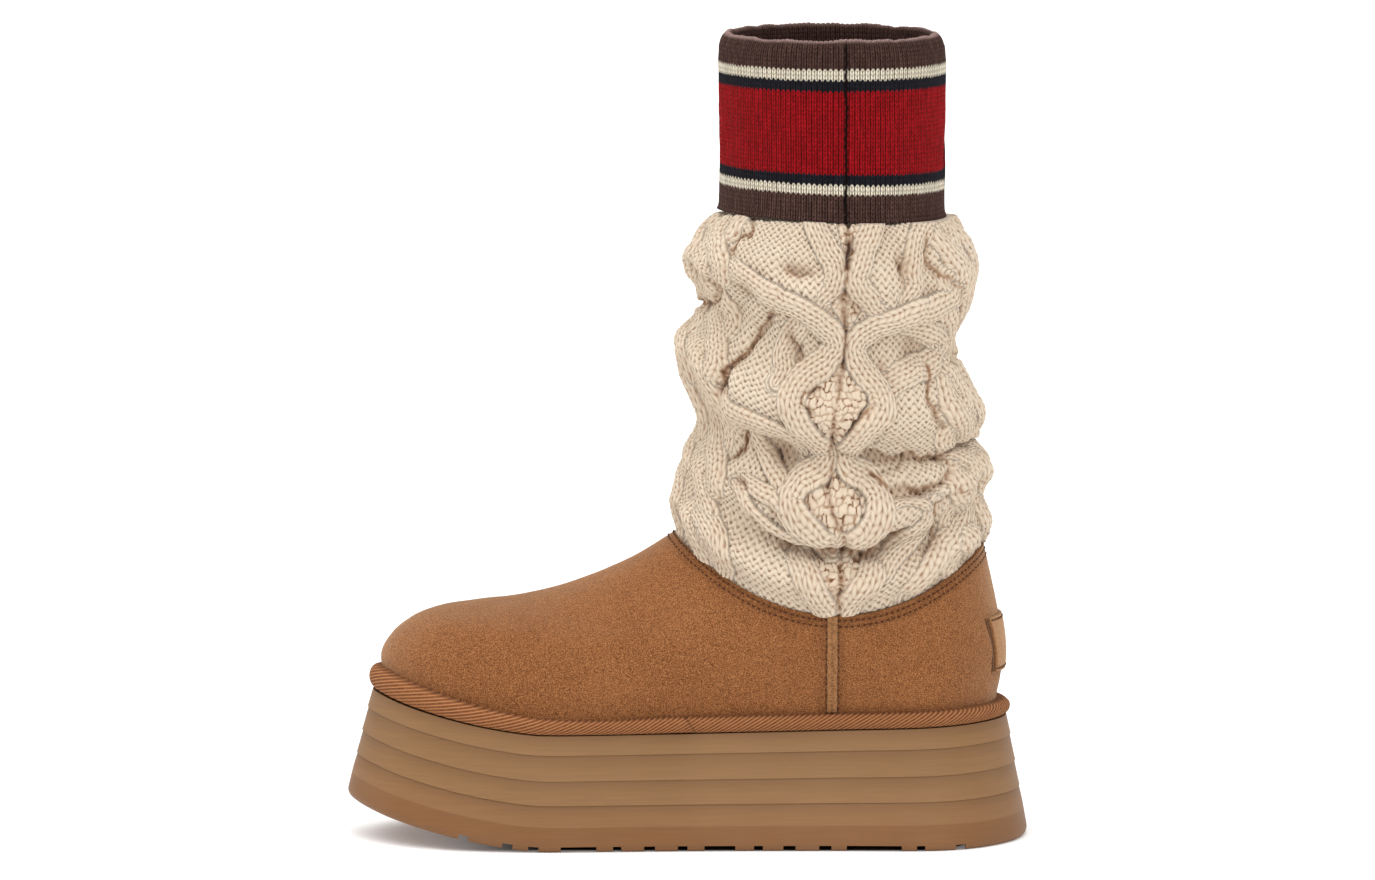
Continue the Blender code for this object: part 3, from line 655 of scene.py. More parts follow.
class Nodes:
    """Builds a material's nodes with short calls."""

    def __init__(self, name, roughness=0.8, gloss=0.12):
        self.material = bpy.data.materials.new(name)
        self.material.use_nodes = True
        self.tree = self.material.node_tree
        self.shader = self.tree.nodes["Principled BSDF"]
        self.shader.inputs["Roughness"].default_value = roughness
        self.shader.inputs["Specular IOR Level"].default_value = gloss

    def add(self, kind, **settings):
        node = self.tree.nodes.new(kind)
        for key, value in settings.items():
            setattr(node, key, value)
        return node

    def link(self, source, target):
        if isinstance(source, (int, float)):
            target.default_value = source
        elif isinstance(source, tuple):
            target.default_value = (*source, 1.0) if len(source) == 3 and target.type == "RGBA" else source
        else:
            self.tree.links.new(source, target)

    def math(self, operation, first, second=0.0, third=0.0):
        node = self.add("ShaderNodeMath", operation=operation)
        for value, socket in zip((first, second, third), node.inputs):
            self.link(value, socket)
        return node.outputs[0]

    def times(self, first, second):
        return self.math("MULTIPLY", first, second)

    def plus(self, first, second):
        return self.math("ADD", first, second)

    def minus(self, first, second):
        return self.math("SUBTRACT", first, second)

    def most(self, first, second):
        return self.math("MAXIMUM", first, second)

    def fold(self, value):
        """The same as fold below: 1 at whole numbers and 0 half-way between them."""
        return self.math("ABSOLUTE", self.minus(self.times(self.math("FRACT", value), 2.0), 1.0))

    def value(self, name):
        return self.add("ShaderNodeAttribute", attribute_name=name).outputs["Fac"]

    def place(self):
        return self.add("ShaderNodeTexCoord").outputs["Object"]

    def axes(self):
        apart = self.add("ShaderNodeSeparateXYZ")
        self.link(self.place(), apart.inputs[0])
        return apart.outputs

    def noise(self, scale, detail=2.0, roughness=0.5, where=None, distortion=0.0):
        node = self.add("ShaderNodeTexNoise")
        self.link(where or self.place(), node.inputs["Vector"])
        node.inputs["Scale"].default_value = scale
        node.inputs["Detail"].default_value = detail
        node.inputs["Roughness"].default_value = roughness
        node.inputs["Distortion"].default_value = distortion
        return node.outputs["Fac"]

    def range(self, value, low, high, to_low=0.0, to_high=1.0, smooth=True):
        node = self.add("ShaderNodeMapRange")
        node.interpolation_type = "SMOOTHSTEP" if smooth else "LINEAR"
        for key, number in zip(("Value", "From Min", "From Max", "To Min", "To Max"),
                               (value, low, high, to_low, to_high)):
            self.link(number, node.inputs[key])
        return node.outputs[0]

    def mix(self, share, first, second, blend="MIX"):
        node = self.add("ShaderNodeMix", data_type="RGBA", blend_type=blend)
        self.link(share, node.inputs["Factor"])
        self.link(first, node.inputs["A"])
        self.link(second, node.inputs["B"])
        return node.outputs["Result"]

    def bump(self, height, strength, distance, under=None):
        node = self.add("ShaderNodeBump")
        node.inputs["Strength"].default_value = strength
        node.inputs["Distance"].default_value = distance
        self.link(height, node.inputs["Height"])
        if under is not None:
            self.link(under, node.inputs["Normal"])
        return node.outputs["Normal"]

    def finish(self, colour, normal=None, roughness=None, sheen=None):
        self.link(colour, self.shader.inputs["Base Color"])
        if normal is not None:
            self.link(normal, self.shader.inputs["Normal"])
        if roughness is not None:
            self.link(roughness, self.shader.inputs["Roughness"])
        if sheen is not None:
            weight, spread, tint = sheen
            self.shader.inputs["Sheen Weight"].default_value = weight
            self.shader.inputs["Sheen Roughness"].default_value = spread
            self.shader.inputs["Sheen Tint"].default_value = (*tint, 1.0)
        return self.material


def suede_material(name, dark, middle, light, seamed=False):
    """Brushed suede: fine mottled grain, soft clouds and a short nap, with dark seams and painted shade."""
    n = Nodes(name, 0.92)
    grain = n.noise(2700.0, 2.0, 0.65)
    cloud = n.noise(38.0, 3.0, 0.55)
    pile = n.noise(620.0, 2.0, 0.6)
    tone = n.mix(n.range(cloud, 0.3, 0.7), middle, n.mix(0.22, middle, light))
    tone = n.mix(n.range(grain, 0.50, 0.63), tone, light)
    tone = n.mix(n.range(grain, 0.49, 0.36), tone, dark)
    tone = n.mix(n.range(pile, 0.5, 0.3, 0.0, 0.24), tone, dark)
    # Darkening attribute: 1 in dark seams, and painted shade in stitched channels, slots and along edges
    dark_marks_and_shade = n.value("dark_marks_and_shade")
    if seamed:
        axes = n.axes()
        away = n.math("ABSOLUTE", n.minus(axes["X"], ANKLE_X))
        away = n.plus(away, n.times(n.noise(900.0, 1.0), 0.0008))
        # Beside each side seam: a dark band broken by stitch holes, painted as the shade of a groove, and a
        # wider painted shadow of the raised strip
        beside = n.range(away, SEAM_WIDTH / 2 + 0.0022, SEAM_WIDTH / 2 + 0.0008)
        turn = n.times(axes["Z"], ROUND / SEAM_PITCH)
        holes = n.range(n.math("SINE", turn), 0.0, 0.8, 0.55, 1.0)
        dark_marks_and_shade = n.most(dark_marks_and_shade, n.times(beside, holes))
        shadow = n.range(away, SEAM_WIDTH / 2 + 0.0060, SEAM_WIDTH / 2 + 0.0010, 0.0, 0.22)
        dark_marks_and_shade = n.most(dark_marks_and_shade, shadow)
    # Seam marks and painted shade turn the suede dark brown
    tone = n.mix(n.times(dark_marks_and_shade, 0.92), tone, SHADE_AND_SEAM_BROWN)
    normal = n.bump(grain, 0.75, 0.0004, n.bump(pile, 0.40, 0.0006))
    return n.finish(tone, normal, sheen=(0.60, 0.36, (1.0, 0.76, 0.52)))


def knit_material():
    """Cream yarn. col and row count stitches and kind is 0 for purl and 1 for plain stitches. The last
    value is painted shade, most where the point lies deep between raised strands, with the dark marks of
    the seams."""
    n = Nodes("cream_yarn", 0.95)
    col, row, kind, shade_and_seam_marks = (n.value(key) for key in ("col", "row", "kind", "shade_and_seam_marks"))
    across = n.fold(col)
    edge = n.math("POWER", n.fold(across), LEG_POWER)
    joint = n.math("POWER", n.fold(n.minus(row, n.times(across, LEG_SLOPE))), 2.0)
    pits = n.times(edge, n.plus(PIT_LOW, n.times(joint, 1 - PIT_LOW)))
    steps = n.times(n.times(joint, JOINT_STEP), n.minus(1.0, edge))
    plain = n.minus(n.minus(1.0, pits), steps)
    wave = n.math("COSINE", n.times(col, ROUND))
    line = n.math("POWER", n.fold(n.plus(row, n.times(wave, PURL_WAVE))), PURL_POWER)
    slack, open_side, open_crest = PURL_HOLES
    open_share = n.plus(open_side, n.times(wave, open_crest))
    open_share = n.plus(slack, n.times(n.math("ABSOLUTE", wave), open_share))
    purl = n.minus(1.0, n.times(line, open_share))
    stitch = n.add("ShaderNodeMix", data_type="FLOAT")
    for source, key in ((kind, "Factor"), (purl, "A"), (plain, "B")):
        n.link(source, stitch.inputs[key])
    stitch = stitch.outputs["Result"]
    fuzz = n.noise(1700.0, 3.0, 0.7)
    ply = n.noise(700.0, 2.0, 0.6, distortion=0.6)
    tone = n.mix(n.range(n.noise(60.0, 2.0), 0.3, 0.7), CREAM, n.mix(0.4, CREAM, CREAM_LIGHT))
    tone = n.mix(n.range(fuzz, 0.35, 0.7, 0.0, 0.45), tone, CREAM_LIGHT)
    # Painted shade in the holes between stitches, patchy over the cloth
    low = n.plus(0.70, n.times(kind, 0.26))
    shade_patchiness = n.range(n.noise(330.0, 2.0, 0.6), 0.36, 0.60, 0.50, 1.0)
    holes = n.times(n.range(stitch, low, 0.16), shade_patchiness)
    tone = n.mix(holes, tone, CREAM_SHADE)
    # Painted shade between raised strands and in creases and hollows, with the seams' marks; the deepest
    # goes darker still
    tone = n.mix(n.range(shade_and_seam_marks, 0.06, 0.6, 0.0, 0.9), tone, CREAM_SHADE)
    deep = n.most(n.range(stitch, 0.20, 0.0, 0.0, 0.55), n.range(shade_and_seam_marks, 0.45, 1.0, 0.0, 0.95))
    tone = n.mix(deep, tone, CREAM_SEAM_AND_DEEP_SHADE)
    normal = n.bump(stitch, 0.75, 0.0009)
    normal = n.bump(n.plus(fuzz, ply), 0.35, 0.0004, normal)
    return n.finish(tone, normal, sheen=(0.50, 0.38, (1.0, 0.93, 0.85)))


def cuff_material():
    """Rib knit in stripes. col and row count stitches, and up is the height on the cuff in mm."""
    n = Nodes("striped_rib", 0.95)
    col, row, up, seam = (n.value(key) for key in ("col", "row", "up", "seam"))
    across = n.fold(col)
    leg = n.minus(n.times(across, 2.0), 1.0)
    leg = n.minus(1.0, n.times(leg, leg))
    slant = n.minus(1.0, n.math("POWER", n.fold(n.minus(row, n.times(across, LEG_SLOPE))), 3.0))
    stitch = n.times(n.math("SQRT", leg), n.math("POWER", slant, 0.5))
    between = n.range(across, 0.70, 0.96)
    fuzz = n.noise(1900.0, 3.0, 0.7)
    fleck = n.noise(1100.0, 2.0, 0.6)
    stripes = (
        # height on the cuff, colour above it, pale flecks in it
        (None, (0.042, 0.019, 0.0145), (0.140, 0.074, 0.060)),
        (11.4, *CUFF_CREAM),
        (15.1, *CUFF_BLACK),
        (19.3, (0.198, 0.0004, 0.0012), (0.50, 0.007, 0.014)),
        (52.1, *CUFF_BLACK),
        (56.5, *CUFF_CREAM),
        (60.6, (0.037, 0.0165, 0.0125), (0.125, 0.065, 0.052)),
    )
    wobble = n.times(n.minus(n.noise(260.0, 1.0), 0.5), 0.9)
    tooth = n.plus(n.plus(up, n.times(across, 1.25)), wobble)
    place = n.add("ShaderNodeCombineXYZ")
    n.link(n.times(col, 1.7), place.inputs["X"])
    n.link(n.times(row, 0.16), place.inputs["Y"])
    streak = n.noise(1.0, 2.0, 0.6, place.outputs[0])
    _, tone, pale = stripes[0]
    for height, colour, flecks in stripes[1:]:
        here = n.range(tooth, height + 0.3, height + 0.6)
        tone = n.mix(here, tone, colour)
        pale = n.mix(here, pale, flecks)
    tone = n.mix(n.range(fleck, 0.48, 0.64, 0.0, 0.60), tone, pale)
    tone = n.mix(n.range(streak, 0.48, 0.66, 0.0, 0.45), tone, pale)
    dim = n.mix(1.0, tone, (0.40, 0.36, 0.36), "MULTIPLY")
    tone = n.mix(n.range(streak, 0.50, 0.34, 0.0, 0.45), tone, dim)
    # A painted highlight on the crowns of the legs, and painted shade between the legs and between the ribs
    tone = n.mix(n.range(leg, 0.35, 0.95, 0.0, 0.30), tone, pale)
    dark = n.most(n.range(stitch, 0.80, 0.15, 0.0, 0.80), n.times(between, 0.94))
    tone = n.mix(dark, tone, n.mix(1.0, tone, (0.14, 0.10, 0.10), "MULTIPLY"))
    # lip is a painted highlight along the fold at the top, broken up by the fuzz
    lip = n.times(n.value("lip"), n.range(fuzz, 0.30, 0.58, 0.35, 1.0))
    tone = n.mix(lip, tone, (0.46, 0.31, 0.275))
    tone = n.mix(seam, tone, (0.006, 0.003, 0.003))
    normal = n.bump(stitch, 0.9, 0.0007)
    normal = n.bump(fuzz, 0.45, 0.0005, normal)
    return n.finish(tone, normal, sheen=(0.03, 0.45, (0.60, 0.34, 0.30)))


def tape_material():
    """Cotton twill tape. wound counts ribs along it, across is in mm, and shade darkens its folds."""
    n = Nodes("cotton_twill", 0.85)
    wound, across, shade = (n.value(key) for key in ("wound", "across", "shade"))
    rib = n.plus(wound, n.math("DIVIDE", across, 1.35))
    wave = n.math("SINE", n.times(rib, ROUND))
    weave = n.noise(1600.0, 2.0)
    tone = n.mix(n.range(wave, -0.9, 0.7), (0.160, 0.052, 0.018), (0.475, 0.195, 0.077))
    tone = n.mix(n.range(weave, 0.35, 0.7, 0.0, 0.35), tone, (0.52, 0.228, 0.096))
    tone = n.mix(shade, tone, (0.070, 0.027, 0.010))
    normal = n.bump(wave, 0.95, 0.0005)
    normal = n.bump(weave, 0.25, 0.0002, normal)
    return n.finish(tone, normal, sheen=(0.05, 0.4, (0.6, 0.4, 0.25)))


def foam_material(name, low, high):
    """Moulded foam and rubber of the platform. up is the share of the platform's height."""
    n = Nodes(name, 0.55, 0.35)
    up = n.value("up")
    lines = n.add("ShaderNodeMapping")
    n.link(n.place(), lines.inputs["Vector"])
    lines.inputs["Scale"].default_value = (45.0, 45.0, 1700.0)
    brushed = n.noise(1.0, 2.0, 0.5, lines.outputs[0])
    pores = n.noise(1400.0, 2.0)
    tone = n.mix(n.range(up, 0.15, 0.55), low, high)
    joints = (*BAND_JOINTS, 1.0)
    # Each band is painted darker towards its top, as the shade under the band above, and lighter towards
    # its lower edge, which faces up into the light
    for bottom, top in zip(joints[:-1], joints[1:]):
        band = n.times(n.range(up, bottom - 0.002, bottom + 0.002), n.range(up, top + 0.002, top - 0.002))
        pale = n.times(band, n.range(up, top, bottom, 0.0, 0.30))
        deep = n.times(band, n.range(up, bottom + 0.4 * (top - bottom), top, 0.0, 0.26))
        tone = n.mix(pale, tone, (0.31, 0.175, 0.078))
        tone = n.mix(deep, tone, (0.115, 0.055, 0.022))
    tone = n.mix(n.range(brushed, 0.3, 0.7, 0.0, 0.26), tone, n.mix(0.6, tone, (0.09, 0.045, 0.018)))
    tone = n.mix(n.range(n.noise(26.0, 2.0), 0.35, 0.7, 0.0, 0.12), tone, (0.30, 0.17, 0.085))
    normal = n.bump(brushed, 0.12, 0.0002)
    normal = n.bump(pores, 0.10, 0.0001, normal)
    return n.finish(tone, normal)


def plain_fleece_material():
    n = Nodes("cream_fleece", 1.0)
    curl = n.noise(240.0, 4.0, 0.7, distortion=1.5)
    tone = n.mix(n.range(curl, 0.3, 0.7), (0.40, 0.27, 0.16), (0.74, 0.60, 0.44))
    return n.finish(tone, n.bump(curl, 0.9, 0.002), sheen=(0.4, 0.5, (0.9, 0.8, 0.7)))


def thread_material():
    n = Nodes("brown_thread", 0.8)
    return n.finish((0.078, 0.029, 0.012))


suede = suede_material(
    "suede_nap", (0.090, 0.030, 0.0095), (0.214, 0.078, 0.025), (0.43, 0.184, 0.070), seamed=True)
label_suede = suede_material(
    "label_suede", (0.17, 0.068, 0.024), (0.33, 0.152, 0.060), (0.47, 0.240, 0.105))
knit = knit_material()
rib = cuff_material()
twill = tape_material()
foam = foam_material("moulded_foam", (0.218, 0.094, 0.030), (0.220, 0.108, 0.038))
rubber = foam_material("tread_rubber", (0.203, 0.087, 0.027), (0.207, 0.093, 0.031))
fleece = plain_fleece_material()
thread = thread_material()


# Platform, tread and tape
SOLE_HALF = np.linspace(0.0, 1.0, 141)


def band_rows(low):
    """Shares of the platform's height and set-ins in mm: each band flares out to its lower edge."""
    joints = (low, *(joint for joint in BAND_JOINTS if joint > low + 0.01), 1.0)
    rows = []
    for bottom, top in zip(joints[:-1], joints[1:]):
        for along in np.linspace(0.0, 1.0, 12):
            share = bottom + (top - bottom) * along
            if along == 0.0 and bottom > low:
                share += BAND_GAP
            if along == 1.0 and top < 1.0:
                share -= BAND_GAP
            first_band = BAND_SET_IN * along**2
            other_band = 0.05 + (BAND_SET_IN - 0.05) * along**0.8
            rows.append((share, other_band if bottom > low else first_band))
    return rows


def platform_ring(up, inset):
    loop = platform_loop(up, SOLE_HALF, inset)
    ground = spring(loop[:, 0])
    height = platform_top(loop[:, 0]) - ground
    return np.column_stack((loop, ground + up * height))


def capped_stack(name, rings, finish, values):
    """Rings closed at both ends by strips across the foot."""
    rings = np.asarray(rings)
    rows, around = rings.shape[:2]
    half = around // 2
    sides = grid_faces(rows, around, True)
    i = np.arange(1, half - 1)
    strips = []
    for first in (0, (rows - 1) * around):
        last = first + around
        strips.append(np.stack((first + i, first + i + 1, last - i - 1, last - i), -1))
        strips.append(np.array([[first, first, first + 1, first + around - 1]]))
        strips.append(np.array([[first + half - 1, first + half - 1, first + half, first + half + 1]]))
    made = mesh_object(name, rings, sides, finish, values)
    work = bmesh.new()
    work.from_mesh(made.data)
    work.verts.ensure_lookup_table()
    for strip in strips:
        for row in strip:
            work.faces.new([work.verts[k] for k in dict.fromkeys(int(k) for k in row)])
    bmesh.ops.recalc_face_normals(work, faces=work.faces)
    work.to_mesh(made.data)
    work.free()
    made.data.shade_smooth()
    made.data.set_sharp_from_angle(angle=math.radians(40))
    return made


def make_midsole():
    rows = band_rows(OUTSOLE_HEIGHT / PLATFORM_HEIGHT)
    rings = [platform_ring(up, inset * MM) for up, inset in rows]
    rings[-1][:, 2] += 0.5 * GAP
    values = {"up": np.repeat([up for up, _ in rows], len(rings[0]))}
    made = capped_stack("platform_foam", rings, foam, values)
    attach(made, "root")
    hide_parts("midsole")


def tread_cutter():
    """Boxes that cut the grooves of the tread, turned to the slope of the sole."""
    mesh = bmesh.new()
    for along, share, reach in TREAD_GROOVES:
        x = HEEL_X - SOLE_LENGTH * along
        width = share * SOLE_LENGTH
        for side in (0.0,) if reach == 1.0 else (-1.0, 1.0):
            turn = math.atan2(float(spring(x - width) - spring(x + width)), 2 * width)
            length = 2 * SOLE_WIDTH if side == 0 else 2 * reach * SOLE_WIDTH
            for vertex in bmesh.ops.create_cube(mesh, size=1.0)["verts"]:
                px, py, pz = vertex.co
                px *= width
                pz = (pz - 0.5) * CUTTER_HEIGHT + TREAD_DEPTH
                vertex.co = (
                    x + px * math.cos(turn) + pz * math.sin(turn),
                    py * length + side * SOLE_WIDTH / 2,
                    float(spring(x)) - px * math.sin(turn) + pz * math.cos(turn),
                )
    data = bpy.data.meshes.new("tread_cutter")
    mesh.to_mesh(data)
    mesh.free()
    cutter = bpy.data.objects.new("tread_cutter", data)
    bpy.context.scene.collection.objects.link(cutter)
    return cutter


def apply_modifiers(piece):
    """Replaces the mesh of piece with its modified one."""
    ready = piece.evaluated_get(bpy.context.evaluated_depsgraph_get())
    old = piece.data
    piece.data = bpy.data.meshes.new_from_object(ready)
    piece.modifiers.clear()
    bpy.data.meshes.remove(old)


def make_outsole():
    corner = np.linspace(0.0, math.pi / 2, 6)
    shares = [EDGE_RADIUS * (1 - math.cos(a)) / PLATFORM_HEIGHT for a in corner]
    insets = [EDGE_RADIUS * (1 - math.sin(a)) for a in corner]
    shares += list(np.linspace(EDGE_RADIUS, OUTSOLE_HEIGHT, 6)[1:] / PLATFORM_HEIGHT)
    insets += [0.0] * 5
    rings = [platform_ring(up, inset) for up, inset in zip(shares, insets)]
    values = {"up": np.repeat(shares, len(rings[0]))}
    made = capped_stack("tread", rings, rubber, values)
    cutter = tread_cutter()
    cut = made.modifiers.new("grooves", "BOOLEAN")
    cut.operation = "DIFFERENCE"
    cut.object = cutter
    apply_modifiers(made)
    bpy.data.objects.remove(cutter)
    made.data.set_sharp_from_angle(angle=math.radians(40))
    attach(made, "root")
    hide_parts("outsole")


def make_tape():
    """The binding tape, whose ends overlap on the medial side a little ahead of the middle."""
    stations = np.linspace(0.0, 1.0, 520)
    low, high = upper_rings((0.0, 1.0), stations)
    loop = platform_loop(1.0, foot_shares(stations), 0.0)
    outward = outward_of(loop)
    base = platform_top(loop[:, 0]) + GAP
    station = both_sides(stations)[0]
    height = TAPE_HEIGHT + TAPE_TOE_RISE * smooth_step(0.72, 1.0, station)
    crest = 0.97 - 0.12 * bell(loop[:, 0] + 0.035, 0.022)
    steps = np.linalg.norm(np.roll(loop, -1, axis=0) - loop, axis=1)
    along = np.concatenate(([0.0], np.cumsum(steps)[:-1])) / MM
    join = along[np.argmin(abs(loop[:, 0] - 0.001) + (loop[:, 1] > 0))]
    pitch = 2.3 + 2.1 * smooth_step(0.66, 0.92, station)
    wound = np.concatenate(([0.0], np.cumsum(steps / MM / pitch)[:-1]))
    slack = 0.22 * line_noise(along, 17.0, 5) * MM
    rings, across_values, shade_values = [], [], []
    for turn in np.linspace(0.0, 1.0, 17):
        angle = math.pi * (turn - 0.5)
        out = max(0.0, math.cos(angle)) ** 0.62
        up = 0.5 + 0.5 * math.sin(angle)
        offset = along - join - 6.0 * (turn - 0.5)
        lap = smooth_step(0.0, 0.5, offset) * (1 - smooth_step(9.0, 17.0, offset))
        z = base - 0.6 * GAP + height * (up * crest + 0.035 * lap)
        rise = (z - low[:, 2]) / (high[:, 2] - low[:, 2])
        inner = (low + (high - low) * rise[:, None])[:, :2] - GAP * outward
        outer = loop + (TAPE_OVERHANG + slack + 0.55 * MM * lap)[:, None] * outward
        rings.append(np.column_stack((inner + (outer - inner) * out, z)))
        across_values.append(up * height / MM)
        edge = bell(offset + 0.25, 0.35)
        tuck = smooth_step(0.90, 1.0, up) + smooth_step(0.12, 0.0, up)
        shade_values.append(np.clip(0.85 * edge + 0.55 * tuck, 0, 1))
    values = {
        "wound": np.tile(wound, len(rings)),
        "across": np.concatenate(across_values),
        "shade": np.concatenate(shade_values),
    }
    made = tube_object("twill_binding", rings, twill, values)
    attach(made, "root")
    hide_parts("binding_tape")


def make_insole():
    inset = feather_inset() + UPPER_WALL + 2 * GAP
    fine = np.linspace(0.0, 1.0, 61)
    edge = platform_loop(1.0, fine, inset)
    base = platform_top(edge[:, 0]) + GAP
    middle = np.column_stack((edge[:, 0], edge[:, 1] * 0))
    rings = [np.column_stack((edge, base)), np.column_stack((edge, base + 0.8 * INSOLE_THICKNESS))]
    for share in np.linspace(0.02, 1.0, 18):
        plan = edge * (1 - share) + middle * share
        lift = soft_noise(plan[:, 0] / MM, plan[:, 1] / MM, 7.0, 3) * 0.0005
        z = platform_top(plan[:, 0]) + GAP + INSOLE_THICKNESS - 0.0006 + lift
        rings.append(np.column_stack((plan, z)))
    made = tube_object("fleece_insole", rings, fleece)
    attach(made, "root")
    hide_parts("insole")


# Suede upper, with the height of a row of the side seams' mesh in mm
SEAM_ROW = 0.33


def rounded_edge(outer, normals, wall):
    """Points over a rounded free edge, from the outer face to the inner one."""
    onward = outer[-1] - outer[-2]
    onward /= np.linalg.norm(onward, axis=1)[:, None]
    rings = []
    for turn in np.linspace(0.12, 0.88, 7) * math.pi:
        inward = wall / 2 * (1 - math.cos(turn))
        ahead = wall / 2 * math.sin(turn) - wall / 2
        rings.append(outer[-1] - normals[-1] * inward + onward * ahead)
    return rings


def make_upper():
    stations = np.linspace(0.0, 1.0, 121)
    levels = np.concatenate((np.linspace(0.0, 9.6, 70), np.linspace(9.68, 9.86, 4)))
    outer = upper_rings(levels, stations)
    x, y, z = np.moveaxis(outer, 2, 0) / MM
    dents = 0.35 * soft_noise(x + 0.6 * y, z, 26.0, 11) + 0.10 * soft_noise(x - y, z + y, 7.0, 21)
    low_fade = smooth_step(0.6, 2.2, levels)[:, None]
    high_fade = 1 - smooth_step(8.6, 9.6, levels)[:, None]
    outer += normals_of(outer) * (dents * low_fade * high_fade * MM)[..., None]
    from_edge = np.linalg.norm(outer - upper_rings((10.0,), stations), axis=2)
    rows = sum(bell(from_edge - distance, 0.0009) for distance in STITCH_ROWS)
    outer -= normals_of(outer) * (0.00022 * rows)[..., None]
    normals = normals_of(outer)
    inner = (outer - UPPER_WALL * normals)[::-6]
    inner[-1, :, 2] = outer[0, :, 2]
    rings = np.concatenate((outer, rounded_edge(outer, normals, UPPER_WALL), inner))
    dark_marks_and_shade = np.zeros(rings.shape[:2])
    # Painted shade in the two stitched channels, and darker towards the top edge
    dark_marks_and_shade[: len(outer)] = np.clip(0.34 * rows + 0.25 * smooth_step(0.0035, 0.0, from_edge), 0, 1)
    made = tube_object("suede_upper", rings, suede, {"dark_marks_and_shade": dark_marks_and_shade})
    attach(made, "root")
    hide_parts("upper")


def capsule(length, radius, sides=6):
    """Points and faces of a stitch: a short rounded bar along X, half sunk at its ends."""
    shape = ((-0.5, 0.35, -0.6), (-0.32, 0.9, 0.0), (0.0, 1.0, 0.25), (0.32, 0.9, 0.0), (0.5, 0.35, -0.6))
    points = []
    for x, size, lift in shape:
        for k in range(sides):
            a = ROUND * k / sides
            wide, high = size * math.cos(a), size * math.sin(a) + lift
            points.append((x * length, wide * radius, high * radius))
    faces = grid_faces(len(shape), sides, True)
    return np.array(points), faces


def sewn_line(name, path, facing, pitch):
    """Stitches set along a path, as one piece. facing holds the surface's normals there."""
    along = lengths_along(path)
    points, faces = capsule(STITCH_LENGTH, THREAD_RADIUS)
    vertices, all_faces = [], []
    for count, at in enumerate(np.arange(pitch / 2, along[-1], pitch)):
        here = read_rows(at, along, path)
        ahead = read_rows(at + pitch / 4, along, path) - here
        up = read_rows(at, along, facing)
        ahead /= np.linalg.norm(ahead)
        side = np.cross(up, ahead)
        side /= np.linalg.norm(side)
        up = np.cross(ahead, side)
        vertices.append(here + points @ np.array((ahead, side, up)))
        all_faces.append(faces + count * len(points))
    made = mesh_object(name, np.concatenate(vertices), np.concatenate(all_faces), thread)
    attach(made, "root")


def make_topline_stitches():
    """Two rows of stitches just under the topline, all the way round."""
    stations = np.linspace(0.0, 1.0, 121)
    levels = np.linspace(7.0, 10.0, 40)
    rings = upper_rings(levels, stations)
    normals = normals_of(rings)
    from_edge = np.linalg.norm(rings - rings[-1], axis=2)
    for name, distance in zip(("stitch_row_upper", "stitch_row_lower"), STITCH_ROWS):
        path, facing = [], []
        for c in range(rings.shape[1]):
            order = from_edge[::-1, c]
            path.append(read_rows(distance, order, rings[::-1, c]))
            facing.append(read_rows(distance, order, normals[::-1, c]))
        path, facing = np.array(path + path[:1]), np.array(facing + facing[:1])
        sewn_line(name, path, facing, 0.0024)


def strip_on_upper(levels, stations, sign):
    """Points and normals of the upper at stations counted from the heel, on the side that sign names."""
    fine = np.linspace(0.0, 1.0, 241)
    rings = upper_rings(levels, fine)
    normals = normals_of(rings)
    count = rings.shape[1]
    index = np.asarray(stations) * 240
    low = np.floor(index).astype(int)
    share = (index - low)[None, :, None]
    near = low if sign < 0 else -low % count
    far = low + 1 if sign < 0 else -(low + 1) % count
    return (rings[:, near] * (1 - share) + rings[:, far] * share,
            normals[:, near] * (1 - share) + normals[:, far] * share)


def make_side_seam(name, node, sign):
    """The raised seam from the tape to the topline: a fuzzy strip of suede, highest along its two edges."""
    levels = np.linspace(1.0, 9.8, 200)
    fine = np.linspace(0.2, 0.6, 161)
    rings, normals = strip_on_upper(levels, fine, sign)
    floor = platform_top(ANKLE_X) + TAPE_HEIGHT + 2 * GAP
    grid, facing = [], []
    for ring, normal in zip(rings, normals):
        if ring[np.argmin(abs(ring[:, 0] - ANKLE_X)), 2] < floor:
            continue
        row = np.array(len(grid) * SEAM_ROW)
        points, ups = [], []
        for share in np.linspace(-1.0, 1.0, 15):
            rough = 0.13 * soft_noise(row, np.array(share * 2.4), 0.75, 31) * MM
            edge = 0.20 * soft_noise(row, row * 0 + math.copysign(9.0, share), 1.1, 33) * MM
            x = ANKLE_X + share * (SEAM_WIDTH / 2 + 0.0003 + edge)
            here = read_rows(-x, -ring[:, 0], ring)
            up = read_rows(-x, -ring[:, 0], normal)
            crown = SEAM_RAISE * max(0.0, 1 - share**4) ** 0.5 * (1 - 0.30 * bell(share, 0.45))
            points.append(here + up * (crown + rough - 0.0002))
            ups.append(up)
        grid.append(points)
        facing.append(ups)
    grid = np.array(grid)
    rows, columns = grid.shape[:2]
    flip = corner_normal(grid) @ facing[0][0] < 0
    shares = np.abs(np.linspace(-1.0, 1.0, columns))
    # Painted shade along both edges of the strip, where it meets the upper, with a faint dark line down its
    # middle and dark flecks
    dark_marks_and_shade = np.tile(0.22 * bell(shares, 0.4) + 0.8 * smooth_step(0.90, 1.0, shares), (rows, 1))
    long, wide = np.meshgrid(np.arange(rows) * SEAM_ROW, np.linspace(-2.4, 2.4, columns), indexing="ij")
    flecks = soft_noise(long.ravel(), wide.ravel(), 0.8, 35).reshape(rows, columns)
    dark_marks_and_shade = np.clip(dark_marks_and_shade + 0.5 * np.clip(flecks, 0, 1) * smooth_step(1.0, 0.6, shares), 0, 1)
    faces = grid_faces(rows, columns, False, flip)
    made = mesh_object(name, grid, faces, label_suede, {"dark_marks_and_shade": dark_marks_and_shade})
    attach(made, "root")
    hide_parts(node)


